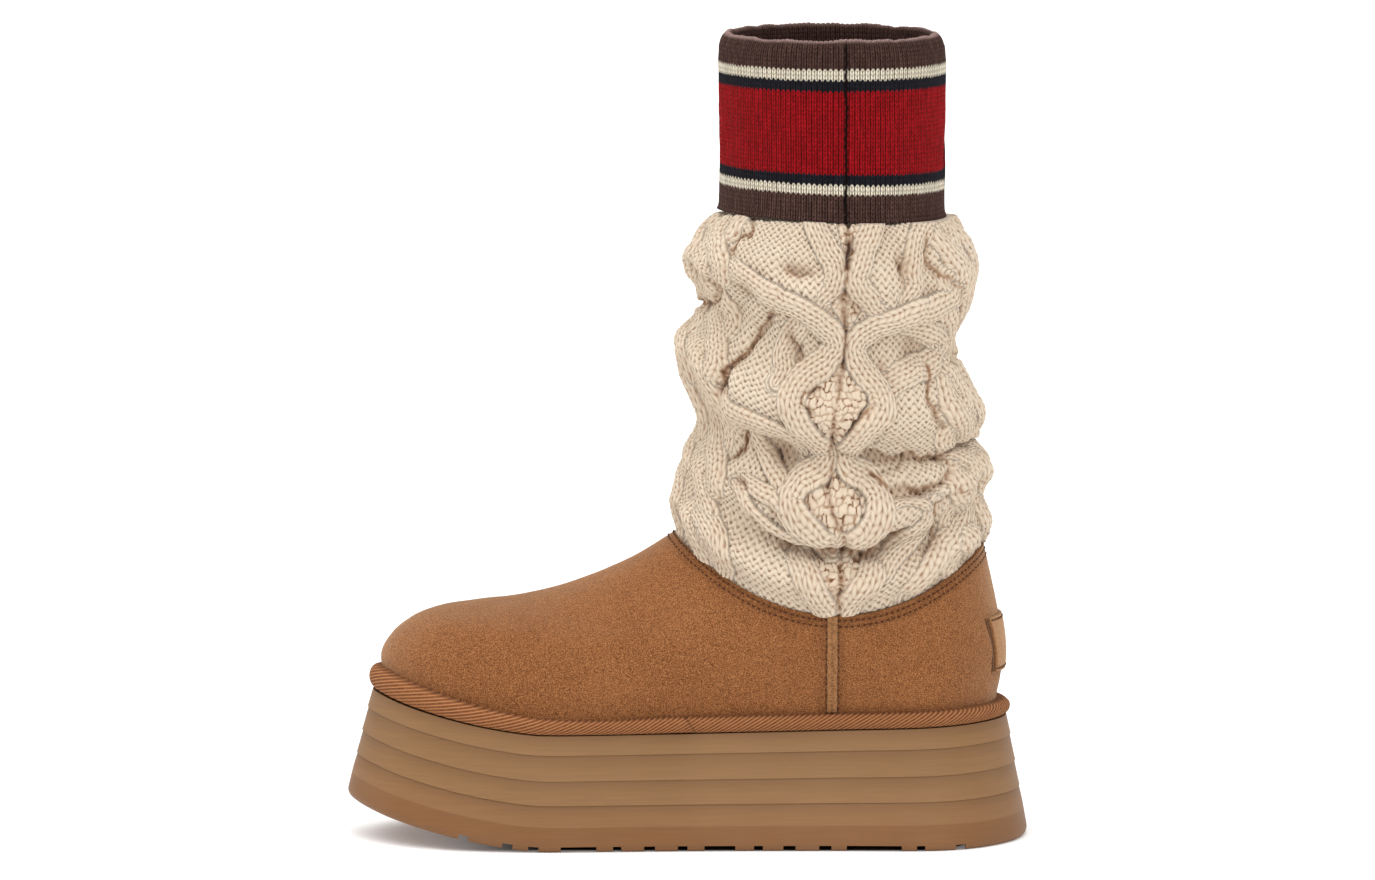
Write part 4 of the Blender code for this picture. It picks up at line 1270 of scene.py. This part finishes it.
def make_label():
    """The bare patch on the heel, sewn along its top and bottom, with a lowered slot along its open sides
    painted dark as shade.
    """
    base = float(platform_top(PLATFORM_HEEL_X)) + LABEL_FROM_PLATFORM
    fine = np.linspace(0.0, 0.5, 241)
    levels = np.linspace(1.0, 9.0, 161)
    rings = {sign: strip_on_upper(levels, fine, sign) for sign in (-1, 1)}
    middle = int(np.argmin(abs(rings[-1][0][:, 0, 2] - base - LABEL_HEIGHT / 2)))
    side = rings[-1][0][middle, :, :2]
    arc = lengths_along(side)
    ups = np.linspace(0.0, 1.0, 45)
    across = np.linspace(-1.0, 1.0, 97)

    def on_face(up, share, lift):
        points, normals = rings[1 if share < 0 else -1]
        column = np.interp(abs(share) * LABEL_WIDTH / 2, arc, np.arange(len(fine)))
        near = int(column)
        far = column - near
        line = points[:, near] * (1 - far) + points[:, near + 1] * far
        turned = normals[:, near] * (1 - far) + normals[:, near + 1] * far
        height = base + LABEL_HEIGHT * up
        here, facing = (read_rows(height, line[:, 2], part) for part in (line, turned))
        return here + facing * lift, facing

    grid, dark_marks_and_shade = [], []
    for up in ups:
        edge_row = min(up, 1 - up) * LABEL_HEIGHT
        for share in across:
            edge_side = (1 - abs(share)) * LABEL_WIDTH / 2
            rounding = math.sqrt(max(0.0, 1 - (1 - min(edge_row / 0.0007, 1)) ** 2))
            pillow = 0.0002 * math.sin(math.pi * up) ** 0.5
            # The slot is lowered and painted dark as the shade in it
            slot = smooth_step(0.0023, 0.0018, edge_side) * smooth_step(0.0002, 0.0010, edge_row)
            rim = smooth_step(0.0012, 0.0, edge_side)
            seam = sum(bell(up - at, 0.02) for at in LABEL_ROWS)
            lift = LABEL_THICKNESS * (0.05 + 0.75 * rounding) + pillow * rounding - 0.0004 * seam
            grid.append(on_face(up, share, lift * (1 - 0.80 * slot) * (1 - 0.5 * rim))[0])
            # Painted shade in the slot, with darker stitch rows and darker top and bottom edges
            dark_marks_and_shade.append(min(1.0, slot * 0.95 + 0.25 * seam + 0.5 * smooth_step(0.0003, 0.0, edge_row)))
    grid = np.array(grid).reshape(len(ups), len(across), 3)
    faces = grid_faces(len(ups), len(across), False, corner_normal(grid)[0] < 0)
    made = mesh_object("heel_patch", grid, faces, label_suede, {"dark_marks_and_shade": dark_marks_and_shade})
    thickness = made.modifiers.new("thickness", "SOLIDIFY")
    thickness.thickness = 0.0011
    thickness.offset = -1.0
    apply_modifiers(made)
    made.data.shade_smooth()
    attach(made, "root")
    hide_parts("heel_label")
    for name, up in zip(("patch_stitches_low", "patch_stitches_high"), LABEL_ROWS):
        pairs = [on_face(up, share, 0.8 * LABEL_THICKNESS) for share in np.linspace(-0.89, 0.89, 60)]
        path, facing = (np.array(column) for column in zip(*pairs))
        sewn_line(name, path, facing, 0.0022)


# Cable-knit shaft
PURL_WALE, PURL_COURSE = 3.6, 3.0
PLAIN_WALE, PLAIN_COURSE = 3.6, 2.9
MOSS_WALE, MOSS_COURSE = 2.8, 3.1
STRAND_RISE = 2.3
# The mesh is finer on the medial side, the one that the photo shows. Its rows are this far apart in mm.
MEDIAL_COLUMNS, LATERAL_COLUMNS = 480, 256
CLOTH_ROW = 0.47
# How far a strand reaches to each side, as a share of its width
STRAND_REACH = 0.53


def plain_stitch(col, row):
    """Height from 0 to 1 of plain stitches: V shapes of two legs, with holes where two stitches meet."""
    across = fold(col)
    edge = fold(across) ** LEG_POWER
    joint = fold(row - LEG_SLOPE * across) ** 2
    return 1 - edge * (PIT_LOW + (1 - PIT_LOW) * joint) - JOINT_STEP * joint * (1 - edge)


def purl_stitch(col, row):
    """Height from 0 to 1 of purl stitches: waves that touch, with a hole at each crest and trough."""
    wave = np.cos(ROUND * col)
    line = fold(row + PURL_WAVE * wave) ** PURL_POWER
    slack, open_side, open_crest = PURL_HOLES
    return 1 - line * (slack + np.abs(wave) * (open_side + open_crest * wave))


def blurred(values, reach):
    """A grid softened over the given reach in rows and columns; the columns are closed."""
    for axis, width in enumerate(reach):
        count = int(3 * width) + 1
        total = np.zeros_like(values)
        weights = 0.0
        for step in range(-count, count + 1):
            weight = math.exp(-((step / width) ** 2) / 2)
            if axis == 1:
                moved = np.roll(values, step, axis=1)
            else:
                moved = values[np.clip(np.arange(len(values)) + step, 0, len(values) - 1)]
            total += weight * moved
            weights += weight
        values = total / weights
    return values


def shaft_base(angles, row_step):
    """The shaft's outer face without stitches: a grid of points, the length up the cloth in mm of each
    row, and that length at the suede's edge."""
    turn, signs = half_turns(angles)
    weights = leg_weights(turn, signs)
    low = topline(turn, signs)
    high = cuff_ring(0.0, 0.0, turn, signs)
    leg_out = np.column_stack((np.cos(turn), signs * np.sin(turn)))
    stations = np.linspace(0.0, 1.0, 121)
    suede_face = upper_rings((8.0, 9.0, 10.0), stations)
    behind = (suede_face - (UPPER_WALL + GAP) * normals_of(suede_face))[-2:]
    loop_turn, loop_signs = both_sides(ankle_angles(stations))
    loop_angles = np.where(loop_signs < 0, loop_turn, ROUND - loop_turn)
    order = np.argsort(loop_angles)
    behind = [read_rows(angles, loop_angles[order], ring[order], period=ROUND) for ring in behind]
    onward = behind[1] - behind[0]
    onward /= np.linalg.norm(onward, axis=1)[:, None]
    rows = [behind[0], behind[1], behind[1] + 5 * GAP * onward]
    for form in KNIT_ROLLS:
        up = sum(w * form[2 * k] for k, w in enumerate(weights))
        out = sum(w * form[2 * k + 1] for k, w in enumerate(weights))
        ring = low + (high - low) * up[:, None]
        ring[:, :2] += leg_out * (out * ROLL_DEPTH)[:, None]
        rows.append(ring)
    for share in (-0.014, 0.03, KNIT_TUCK / CUFF_HEIGHT):
        rows.append(cuff_ring(share, CUFF_WALL + GAP, turn, signs))
    rows = np.array(rows)
    places = np.linspace(0.0, len(rows) - 1.0, 400)
    dense = np.array([spline(rows[:, c], places) for c in range(0, len(angles), 8)])
    lengths = np.linalg.norm(np.diff(dense, axis=1), axis=2).mean(axis=0) / MM
    lengths = np.concatenate(([0.0], np.cumsum(lengths)))
    count = int(lengths[-1] / row_step)
    heights = np.linspace(0.0, lengths[-1], count)
    at = np.interp(heights, lengths, places)
    grid = np.array([spline(rows[:, c], at) for c in range(rows.shape[1])]).transpose(1, 0, 2)
    return grid, heights, float(np.interp(1.0, places, lengths))


def near_path(points, u, v, wide):
    """For the places u, v within wide of a path: their index, signed distance and length along it."""
    low, high = points.min(axis=0) - wide, points.max(axis=0) + wide
    inside = np.flatnonzero((u > low[0]) & (u < high[0]) & (v > low[1]) & (v < high[1]))
    best = np.full(len(inside), 1e9)
    signed, along = np.zeros(len(inside)), np.zeros(len(inside))
    start = 0.0
    pu, pv = u[inside], v[inside]
    for here, after in zip(points[:-1], points[1:]):
        way = after - here
        length = math.hypot(*way)
        share = np.clip(((pu - here[0]) * way[0] + (pv - here[1]) * way[1]) / length**2, 0.0, 1.0)
        du, dv = pu - here[0] - share * way[0], pv - here[1] - share * way[1]
        away = np.hypot(du, dv)
        closer = away < best
        best[closer] = away[closer]
        side = np.sign(way[0] * dv - way[1] * du)
        signed[closer] = (side * away)[closer]
        along[closer] = (start + share * length)[closer]
        start += length
    return inside, signed, along, start


def smooth_path(points, step=2.0):
    """A curve through given points, with any further columns carried along."""
    points = np.asarray(points, float)
    rough = np.linalg.norm(np.diff(points[:, :2], axis=0), axis=1).sum()
    return spline(points, np.linspace(0.0, len(points) - 1.0, max(8, int(rough / step))))


def side_places(points, sign, grid, angles, u_line, heights):
    """Turns side-view places in mm to places on the cloth, on the medial (-1) or lateral (1) side."""
    on_side = (angles <= math.pi) if sign < 0 else (angles >= math.pi)
    columns = np.flatnonzero(on_side)[::3]
    rows = np.arange(0, len(heights), 3)
    xs, zs = grid[np.ix_(rows, columns)][..., 0] / MM, grid[np.ix_(rows, columns)][..., 2] / MM
    placed = []
    for point in points:
        off = (xs - point[0]) ** 2 + (zs - point[1]) ** 2
        r, c = np.unravel_index(np.argmin(off), off.shape)
        placed.append((u_line[columns[c]], heights[rows[r]], *point[2:]))
    return np.array(placed)


def knit_relief(u, v, girth, places):
    """Height of the knit over the bare cloth in mm, with the place in each stitch, at the places u, v."""
    drift_u = u + 0.70 * soft_noise(u, v, 8.0, 41)
    drift_v = v + 0.85 * soft_noise(u + 50, v, 9.0, 43) + 1.6 * soft_noise(u, v + 90, 45.0, 45, 1)
    col, row = drift_u / PURL_WALE, drift_v / PURL_COURSE
    shown = 0.95 * (purl_stitch(col, row) - 1)
    kind = np.zeros_like(u)

    # Moss stitch fills the diamonds on the side seams
    moss_row = drift_v / MOSS_COURSE + 0.38 * soft_noise(u, v, 4.5, 47) + 0.22 * soft_noise(u, v, 2.4, 46)
    cell = np.floor(moss_row).astype(int)
    moss_col = drift_u / MOSS_WALE + 0.5 * (cell % 2) + 0.42 * soft_noise(u, v, 5.0, 49)
    moss_col = moss_col + 0.22 * soft_noise(u, v, 2.4, 48)
    sizes = np.random.default_rng(51).uniform(0.45, 1.1, (LATTICE, LATTICE))
    size = sizes[np.floor(moss_col).astype(int) % LATTICE, cell % LATTICE]
    bump = (1 - fold(moss_col) ** 2.6) * (1 - fold(moss_row) ** 2.6)
    moss = np.zeros(u.shape, bool)
    for centre, top, widest, bottom, front, back in places["diamonds"]:
        seam_u = np.interp(v, centre[:, 1], centre[:, 0])
        ahead = (u - seam_u) * (-1.0 if centre[0, 0] > girth / 2 else 1.0)
        rise = np.where(v > widest, (top - v) / (top - widest), (v - bottom) / (widest - bottom))
        reach = np.where(ahead > 0, front, back) * np.clip(rise, 0, 1) ** 0.7
        moss |= (rise > 0) & (np.abs(u - seam_u) < reach)
    knots = 0.42 * soft_noise(u, v, 2.3, 50)
    shown = np.where(moss, 1.25 * size * np.sqrt(np.clip(bump, 0, 1)) - 1.1 + knots, shown)
    # Painted shade in the moss: a little all over, more between the knots and most in scattered holes
    holes = smooth_step(0.35, 0.0, bump) * smooth_step(-0.1, 0.5, soft_noise(u, v, 3.1, 52))
    crack_shade = np.where(moss, 0.12 + 0.30 * smooth_step(0.5, 0.1, bump) + 0.60 * holes, 0.0)
    col = np.where(moss, 0.25, col)
    row = np.where(moss, 0.5, row)

    # Strands of the cables, the highest of which shows
    for path, width, lift in places["strands"]:
        for shift in (-girth, 0.0, girth):
            inside, away, along, length = near_path(path[:, :2] + (shift, 0.0), u, v, STRAND_REACH * width)
            if len(inside) == 0:
                continue
            across = away / (STRAND_REACH * width) + 0.07 * line_noise(along, 5.0, 53)
            lifted = np.interp(along / length, np.linspace(0, 1, len(lift)), lift)
            ends = smooth_step(0.0, 5.0, along) * smooth_step(0.0, 5.0, length - along)
            crown = STRAND_RISE * np.clip(1 - np.abs(across) ** 2.2, 0, 1) ** 0.9 * (0.3 + 0.7 * ends)
            strand_col = (across + 1) / 2 * max(2, round(width / PLAIN_WALE))
            strand_col = strand_col + 0.10 * soft_noise(u[inside], v[inside], 5.0, 57)
            strand_row = along / PLAIN_COURSE + 0.28 * soft_noise(u[inside], v[inside], 5.0, 55)
            stitch = plain_stitch(strand_col, strand_row)
            height = crown + lifted * ends + 0.80 * (stitch - 1) - 0.15
            height[np.abs(across) > 1] = -9.0
            wins = height > shown[inside]
            chosen = inside[wins]
            shown[chosen] = height[wins]
            col[chosen], row[chosen] = strand_col[wins], strand_row[wins]
            kind[chosen] = 1.0
            crack_shade[chosen] = 0.0

    # Seam between the panels
    # The seams' dark marks join the painted shade of the moss
    seam = crack_shade
    for path in places["seams"]:
        inside, away, along, _ = near_path(path[:, :2], u, v, 5.0)
        wander = away + 0.5 * line_noise(along, 3.5, 61)
        shown[inside] -= 1.9 * bell(wander, 1.2)
        bars = 0.62 + 0.38 * np.cos(ROUND * (along + 1.2 * line_noise(along, 5.0, 63)) / 2.9)
        strength = np.clip(0.62 + 0.55 * line_noise(along, 12.0, 65), 0.15, 1.0)
        width = 0.55 + 0.45 * strength
        seam[inside] = np.maximum(seam[inside], strength * bars * bell(wander, width))
    return shown, {"col": col, "row": row, "kind": kind}, seam


def cloth_folds(u, v, girth, creases, hollows):
    """How far the listed creases and hollows move the bare cloth in mm, and how dark the painted shade in
    them is.
    """
    bend = 1.2 * soft_noise(u, v, 27.0, 71) + 0.5 * soft_noise(u, v, 12.0, 73)
    # dark is the painted shade in the hollows and along the creases
    dark = np.zeros_like(u)
    for centre_u, centre_v, reach_u, reach_v, depth in hollows:
        away = np.abs((u - centre_u + girth / 2) % girth - girth / 2)
        near = bell(away, reach_u) * bell(v - centre_v, reach_v)
        bend -= depth * near
        dark = np.maximum(dark, 0.12 * depth * near**2)
    for path, depth, reach, overhang, left in creases:
        for shift in (-girth, 0.0, girth):
            inside, away, along, length = near_path(path[:, :2] + (shift, 0.0), u, v, 3 * reach)
            if len(inside) == 0:
                continue
            ends = smooth_step(-0.5, 7.0, along) * smooth_step(-0.5, 7.0, length - along)
            wander = away + 0.9 * soft_noise(u[inside], v[inside], 3.4, 75)
            wander += 1.3 * soft_noise(u[inside], v[inside], 9.0, 79)
            near = np.abs(wander) / reach
            trough = 0.35 * bell(near - 1.1, 0.5) - bell(near, 0.45)
            shelf = np.tanh(left * wander / 0.9) * np.exp(-near)
            bend[inside] += depth * ends * ((1 - 0.5 * overhang) * trough + overhang * shelf)
            patchy = 0.80 + 0.35 * line_noise(along, 4.0, 77)
            patchy *= np.interp(along / length, np.linspace(0, 1, len(path)), path[:, 2])
            crease_shade = bell(wander, 0.55) * ends * patchy
            dark[inside] = np.maximum(dark[inside], crease_shade * min(0.85, 0.34 * depth))
    return bend, dark


def make_knit():
    """The cable-knit shaft in four panels, with their common normals, and the plain inside of the leg."""
    medial = np.linspace(0.0, math.pi, MEDIAL_COLUMNS, endpoint=False)
    lateral = np.linspace(math.pi, ROUND, LATERAL_COLUMNS, endpoint=False)
    angles = np.concatenate((medial, lateral))
    grid, heights, hem = shaft_base(angles, CLOTH_ROW)
    middle = grid[len(grid) // 2]
    steps = np.linalg.norm(np.roll(middle, -1, axis=0) - middle, axis=1) / MM
    u_line = np.concatenate(([0.0], np.cumsum(steps)[:-1]))
    girth = steps.sum()
    u, v = (a.ravel() for a in np.meshgrid(u_line, heights))

    strands, seams, creases, diamonds, hollows = [], [], [], [], []
    for sign in (-1, 1):
        def placed(points):
            return side_places(points, sign, grid, angles, u_line, heights)

        for _, width, points in SIDE_STRANDS:
            path = smooth_path(placed(points))
            strands.append((path, width, path[:, 2]))
        seam = smooth_path(placed(SIDE_SEAM))
        seams.append(seam)
        up_seam = seam[np.argsort(seam[:, 1])]
        for top, widest, bottom, front, back in MOSS_DIAMONDS:
            marks = placed([(ANKLE_X / MM, z) for z in (min(top, 250), widest, bottom)])[:, 1]
            diamonds.append((up_seam, *marks, front, back))
        for depth, reach, overhang, points in SIDE_CREASES:
            marked = [(*point, 1.0) if len(point) == 2 else point for point in points]
            creases.append((smooth_path(placed(marked)), depth, reach, overhang, sign))
        for x, z, reach_u, reach_v, depth in SIDE_HOLLOWS:
            hollows.append((*placed([(x, z)])[0], reach_u, reach_v, depth))
    for angle, sway, pitch, start in TWIST_CABLES:
        centre = np.interp(math.radians(angle % 360), angles, u_line)
        for phase in (0.0, 0.5):
            rows = np.arange(4.0, heights[-1] - 4.0, 2.0)
            turn = ROUND * (rows / pitch + start + phase)
            path = np.column_stack((centre + sway * np.sin(turn), rows))
            strands.append((path, TWIST_WIDTH, 0.9 * np.cos(turn)))
    places = {"strands": strands, "seams": seams, "diamonds": diamonds}
    relief, values, seam_marks_and_crack_shade = knit_relief(u, v, girth, places)
    bend, dark = cloth_folds(u, v, girth, creases, hollows)
    low_fade = smooth_step(hem - 0.8, hem + 0.8, v)
    high_fade = smooth_step(8.0, 13.5, heights[-1] - v)
    front = np.tile(np.maximum(0.0, -np.cos(angles)) ** 1.5, len(heights))
    hem_roll = (2.1 + 0.9 * front) * bell(v - hem - 2.6, 2.6)
    settled = 1.0 - (1.0 - 0.6 * front) * 0.7 * smooth_step(hem + 6.0, hem + 0.5, v)
    pulled_in = 2.8 * front * smooth_step(hem + 2.0, hem + 16.0, v)
    out = ((relief + bend) * settled + hem_roll - pulled_in) * low_fade * high_fade + 0.3
    out += 4.5 * bell(heights[-1] - v - 10.2, 1.7)
    out = out.reshape(len(heights), -1)
    # Painted shade where the cloth lies below its surroundings, at the scale of stitches and of folds, kept
    # off the hem and the top
    cavity_shade = np.clip((blurred(out, (2.6, 3.6)) - out - 0.40) / 1.5, 0, 1)
    hollow_shade = np.clip((blurred(out, (10.0, 14.0)) - out - 0.4) / 4.0, 0, 0.30)
    clear = smooth_step(hem + 1.5, hem + 4.5, v) * smooth_step(8.5, 12.0, heights[-1] - v)
    cavity_shade = np.maximum(cavity_shade, hollow_shade) * clear.reshape(out.shape)
    values["shade_and_seam_marks"] = np.clip(np.maximum(cavity_shade, np.maximum(dark, seam_marks_and_crack_shade).reshape(cavity_shade.shape)), 0, 1)
    normals = normals_of(grid)
    surface = grid + normals * out[..., None] * MM
    below_cuff = heights < heights[-1] - 8.3
    cuff_low = BOOT_HEIGHT - CUFF_HEIGHT - CUFF_DROP * np.cos(angles) + 0.0002
    surface[below_cuff, :, 2] = np.minimum(surface[below_cuff, :, 2], cuff_low)
    facing = normals_of(surface)

    half = len(medial)
    quarter = half // 2
    cuts = (0, quarter, half, half + len(lateral) // 2, len(angles))
    names = ("knit_back_medial", "knit_front_medial", "knit_front_lateral", "knit_back_lateral")
    for name, first, last in zip(names, cuts[:-1], cuts[1:]):
        columns = np.arange(first, last + 1) % len(angles)
        take = surface[:, columns]
        part_values = {key: flat.reshape(out.shape)[:, columns] for key, flat in values.items()}
        flip = corner_normal(take, 5) @ facing[5, columns[0]] < 0
        faces = grid_faces(*take.shape[:2], False, flip)
        piece = mesh_object(name, take, faces, knit, part_values, facing[:, columns])
        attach(piece, "root")
    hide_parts("knit_shaft")

    inner = grid[::8, ::6] - normals[::8, ::6] * 1.5 * KNIT_WALL
    rows, columns = inner.shape[:2]
    iu, iv = np.meshgrid(u_line[::6], heights[::8])
    plain = np.ones_like(iu)
    # A little painted shade all over the inside
    liner_values = {"col": iu / PURL_WALE, "row": iv / PURL_COURSE, "kind": plain, "shade_and_seam_marks": 0.15 * plain}
    liner = mesh_object("knit_inside", inner, grid_faces(rows, columns, True), knit, liner_values)
    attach(liner, "root")


# Striped cuff
CUFF_WALE, CUFF_COURSE = 2.12, 1.75
# The cuff's two seams, as shares of the way round from the back
CUFF_SEAMS = (0.2317, 0.7683)


def make_cuff():
    columns = 664
    angles = np.linspace(0.0, ROUND, columns, endpoint=False)
    turn, signs = half_turns(angles)
    dense = spline(CUFF_SECTION, np.linspace(0.0, len(CUFF_SECTION) - 1.0, 600))
    flat = np.column_stack((dense[:, 0] * CUFF_HEIGHT, dense[:, 1] * CUFF_WALL)) / MM
    lengths = lengths_along(flat)
    fold_at = lengths[np.argmax(flat[:, 0])]
    outside = np.linspace(0.0, fold_at + 3.0, 122)
    inside = np.linspace(fold_at + 3.0, lengths[-1], 18)[1:]
    marks = np.concatenate((outside, inside))
    section = read_rows(marks, lengths, dense)
    rings = np.array([cuff_ring(up, inward * CUFF_WALL, turn, signs) for up, inward in section])
    girth = math.pi * (CUFF_DEPTH + CUFF_WIDTH) / 2 / MM
    wales = round(girth / CUFF_WALE)
    col = np.tile(angles / ROUND * wales, (len(marks), 1))
    row = np.tile(marks[:, None] / CUFF_COURSE, (1, columns))
    up = np.minimum(marks, fold_at) + np.maximum(marks - fold_at, 0) * 0.5
    up = np.tile(up[:, None], (1, columns))
    u, v = angles / ROUND * girth, marks
    uu, vv = np.meshgrid(u, v)
    across = fold(col)
    ribs = 0.22 * np.sqrt(np.clip(1 - (2 * across - 1) ** 2, 0, 1))
    ribs += 0.34 * np.sqrt(np.abs(np.sin(math.pi * col)))
    waver = 0.5 * soft_noise(uu, vv, 24.0, 81) + 0.12 * soft_noise(uu, vv, 5.0, 83)
    lip = 0.35 * line_noise(uu, 6.0, 85) * bell(vv - fold_at, 4.0)
    wander = 0.25 * line_noise(vv, 9.0, 87) + 0.15 * np.cos(ROUND * row / 2)
    seam_away = np.min([np.abs(uu - girth * place + wander) for place in CUFF_SEAMS], axis=0)
    seam = np.exp(-((seam_away / 0.65) ** 4)) * smooth_step(fold_at - 0.5, fold_at - 3.5, vv)
    hem = 0.3 * smooth_step(3.0, 0.0, vv)
    pull = 0.5 * bell(seam_away, 3.0) * smooth_step(fold_at, fold_at - 12.0, vv)
    calm = smooth_step(fold_at + 14.0, fold_at + 6.0, vv)
    out = (ribs + waver + lip) * calm - 1.1 * seam - pull + hem - 0.2
    middle = rings[:, :, :2] - np.array((ANKLE_X, 0.0))
    outward = np.dstack((middle / np.linalg.norm(middle, axis=2)[..., None], np.zeros(middle.shape[:2])))
    tilt = np.gradient(rings, axis=0)
    facing = np.cross(np.roll(rings, -1, axis=1) - np.roll(rings, 1, axis=1), tilt)
    facing /= np.linalg.norm(facing, axis=2)[..., None]
    if (facing[20] * outward[20]).sum() < 0:
        facing = -facing
    surface = rings + facing * (out * MM)[..., None]
    # Where the painted highlight along the fold lies
    fold_highlight = bell(vv - fold_at + 0.4, 1.1)
    values = {"col": col, "row": row, "up": up, "seam": np.clip(seam * 1.1, 0, 1), "lip": fold_highlight}
    made = tube_object("striped_rib_cuff", surface, rib, values)
    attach(made, "root")
    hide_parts("striped_cuff")


# Stage
SURROUNDING_LIGHT = 0.72
CAMERA_PLACE = (0.0, -4.05, 0.64)
CAMERA_TARGET = (0.0, 0.0, 0.158)
LENS_MM = 267.7
# Where the flat sole shades the floor: from the toe to the heel, and to each side
SHADE_TOE = (-0.105, -0.045)
SHADE_HEEL = (0.128, 0.120)
SHADE_SIDE = (0.0500, 0.0455)


def make_stage():
    """A plain pale floor that meets the white surroundings, with soft studio light."""
    n = Nodes("studio_floor", 0.9)
    axes = n.axes()
    along, across = axes["X"], n.math("ABSOLUTE", axes["Y"])
    under = n.times(n.range(along, *SHADE_TOE), n.range(along, *SHADE_HEEL))
    heel_round = n.times(n.math("POWER", n.range(along, 0.085, SHADE_HEEL[0]), 2.0), 0.036)
    under = n.times(under, n.range(n.plus(across, heel_round), *SHADE_SIDE))
    # The floor is painted dark under the flat sole as its shadow, and elsewhere glows faintly, a painted
    # light that lifts its shadows
    white = n.finish(n.mix(under, (0.93, 0.93, 0.93), (0.12, 0.11, 0.10)))
    n.shader.inputs["Emission Color"].default_value = (1.0, 0.98, 0.97, 1.0)
    n.link(n.range(under, 0.0, 1.0, 0.14, 0.0), n.shader.inputs["Emission Strength"])
    bpy.ops.mesh.primitive_plane_add(size=60.0, location=(0.0, 0.0, 0.0))
    floor = bpy.context.object
    floor.name = "floor"
    floor.data.materials.append(white)
    world = bpy.data.worlds.new("studio")
    world.use_nodes = True
    world.node_tree.nodes["Background"].inputs["Color"].default_value = (1.0, 1.0, 1.0, 1.0)
    world.node_tree.nodes["Background"].inputs["Strength"].default_value = SURROUNDING_LIGHT
    bpy.context.scene.world = world
    bpy.context.scene.view_settings.view_transform = "Standard"
    suns = (
        # name, direction the light comes from, softness in degrees, power
        ("key", (0.38, -1.0, 1.40), 45.0, 1.10),
        ("top", (-0.45, -0.1, 1.0), 60.0, 1.42),
    )
    for name, place, softness, power in suns:
        lamp = bpy.data.lights.new(name, "SUN")
        lamp.energy = power
        lamp.angle = math.radians(softness)
        made = bpy.data.objects.new(name, lamp)
        made.location = place
        aim_at(made, (0.0, 0.0, 0.0))
        bpy.context.scene.collection.objects.link(made)


def aim_at(thing, target):
    way = Vector(target) - thing.location
    thing.rotation_euler = way.to_track_quat("-Z", "Y").to_euler()


def make_camera():
    lens = bpy.data.cameras.new("camera")
    lens.lens = LENS_MM
    lens.sensor_width = 36.0
    lens.clip_end = 100.0
    made = bpy.data.objects.new("camera", lens)
    made.location = CAMERA_PLACE
    aim_at(made, CAMERA_TARGET)
    bpy.context.scene.collection.objects.link(made)
    bpy.context.scene.camera = made


make_midsole()
make_outsole()
make_tape()
make_insole()
make_upper()
make_topline_stitches()
make_side_seam("seam_strip_medial", "side_seam_medial", -1)
make_side_seam("seam_strip_lateral", "side_seam_lateral", 1)
make_label()
make_knit()
make_cuff()
make_stage()
make_camera()

bpy.context.view_layer.update()
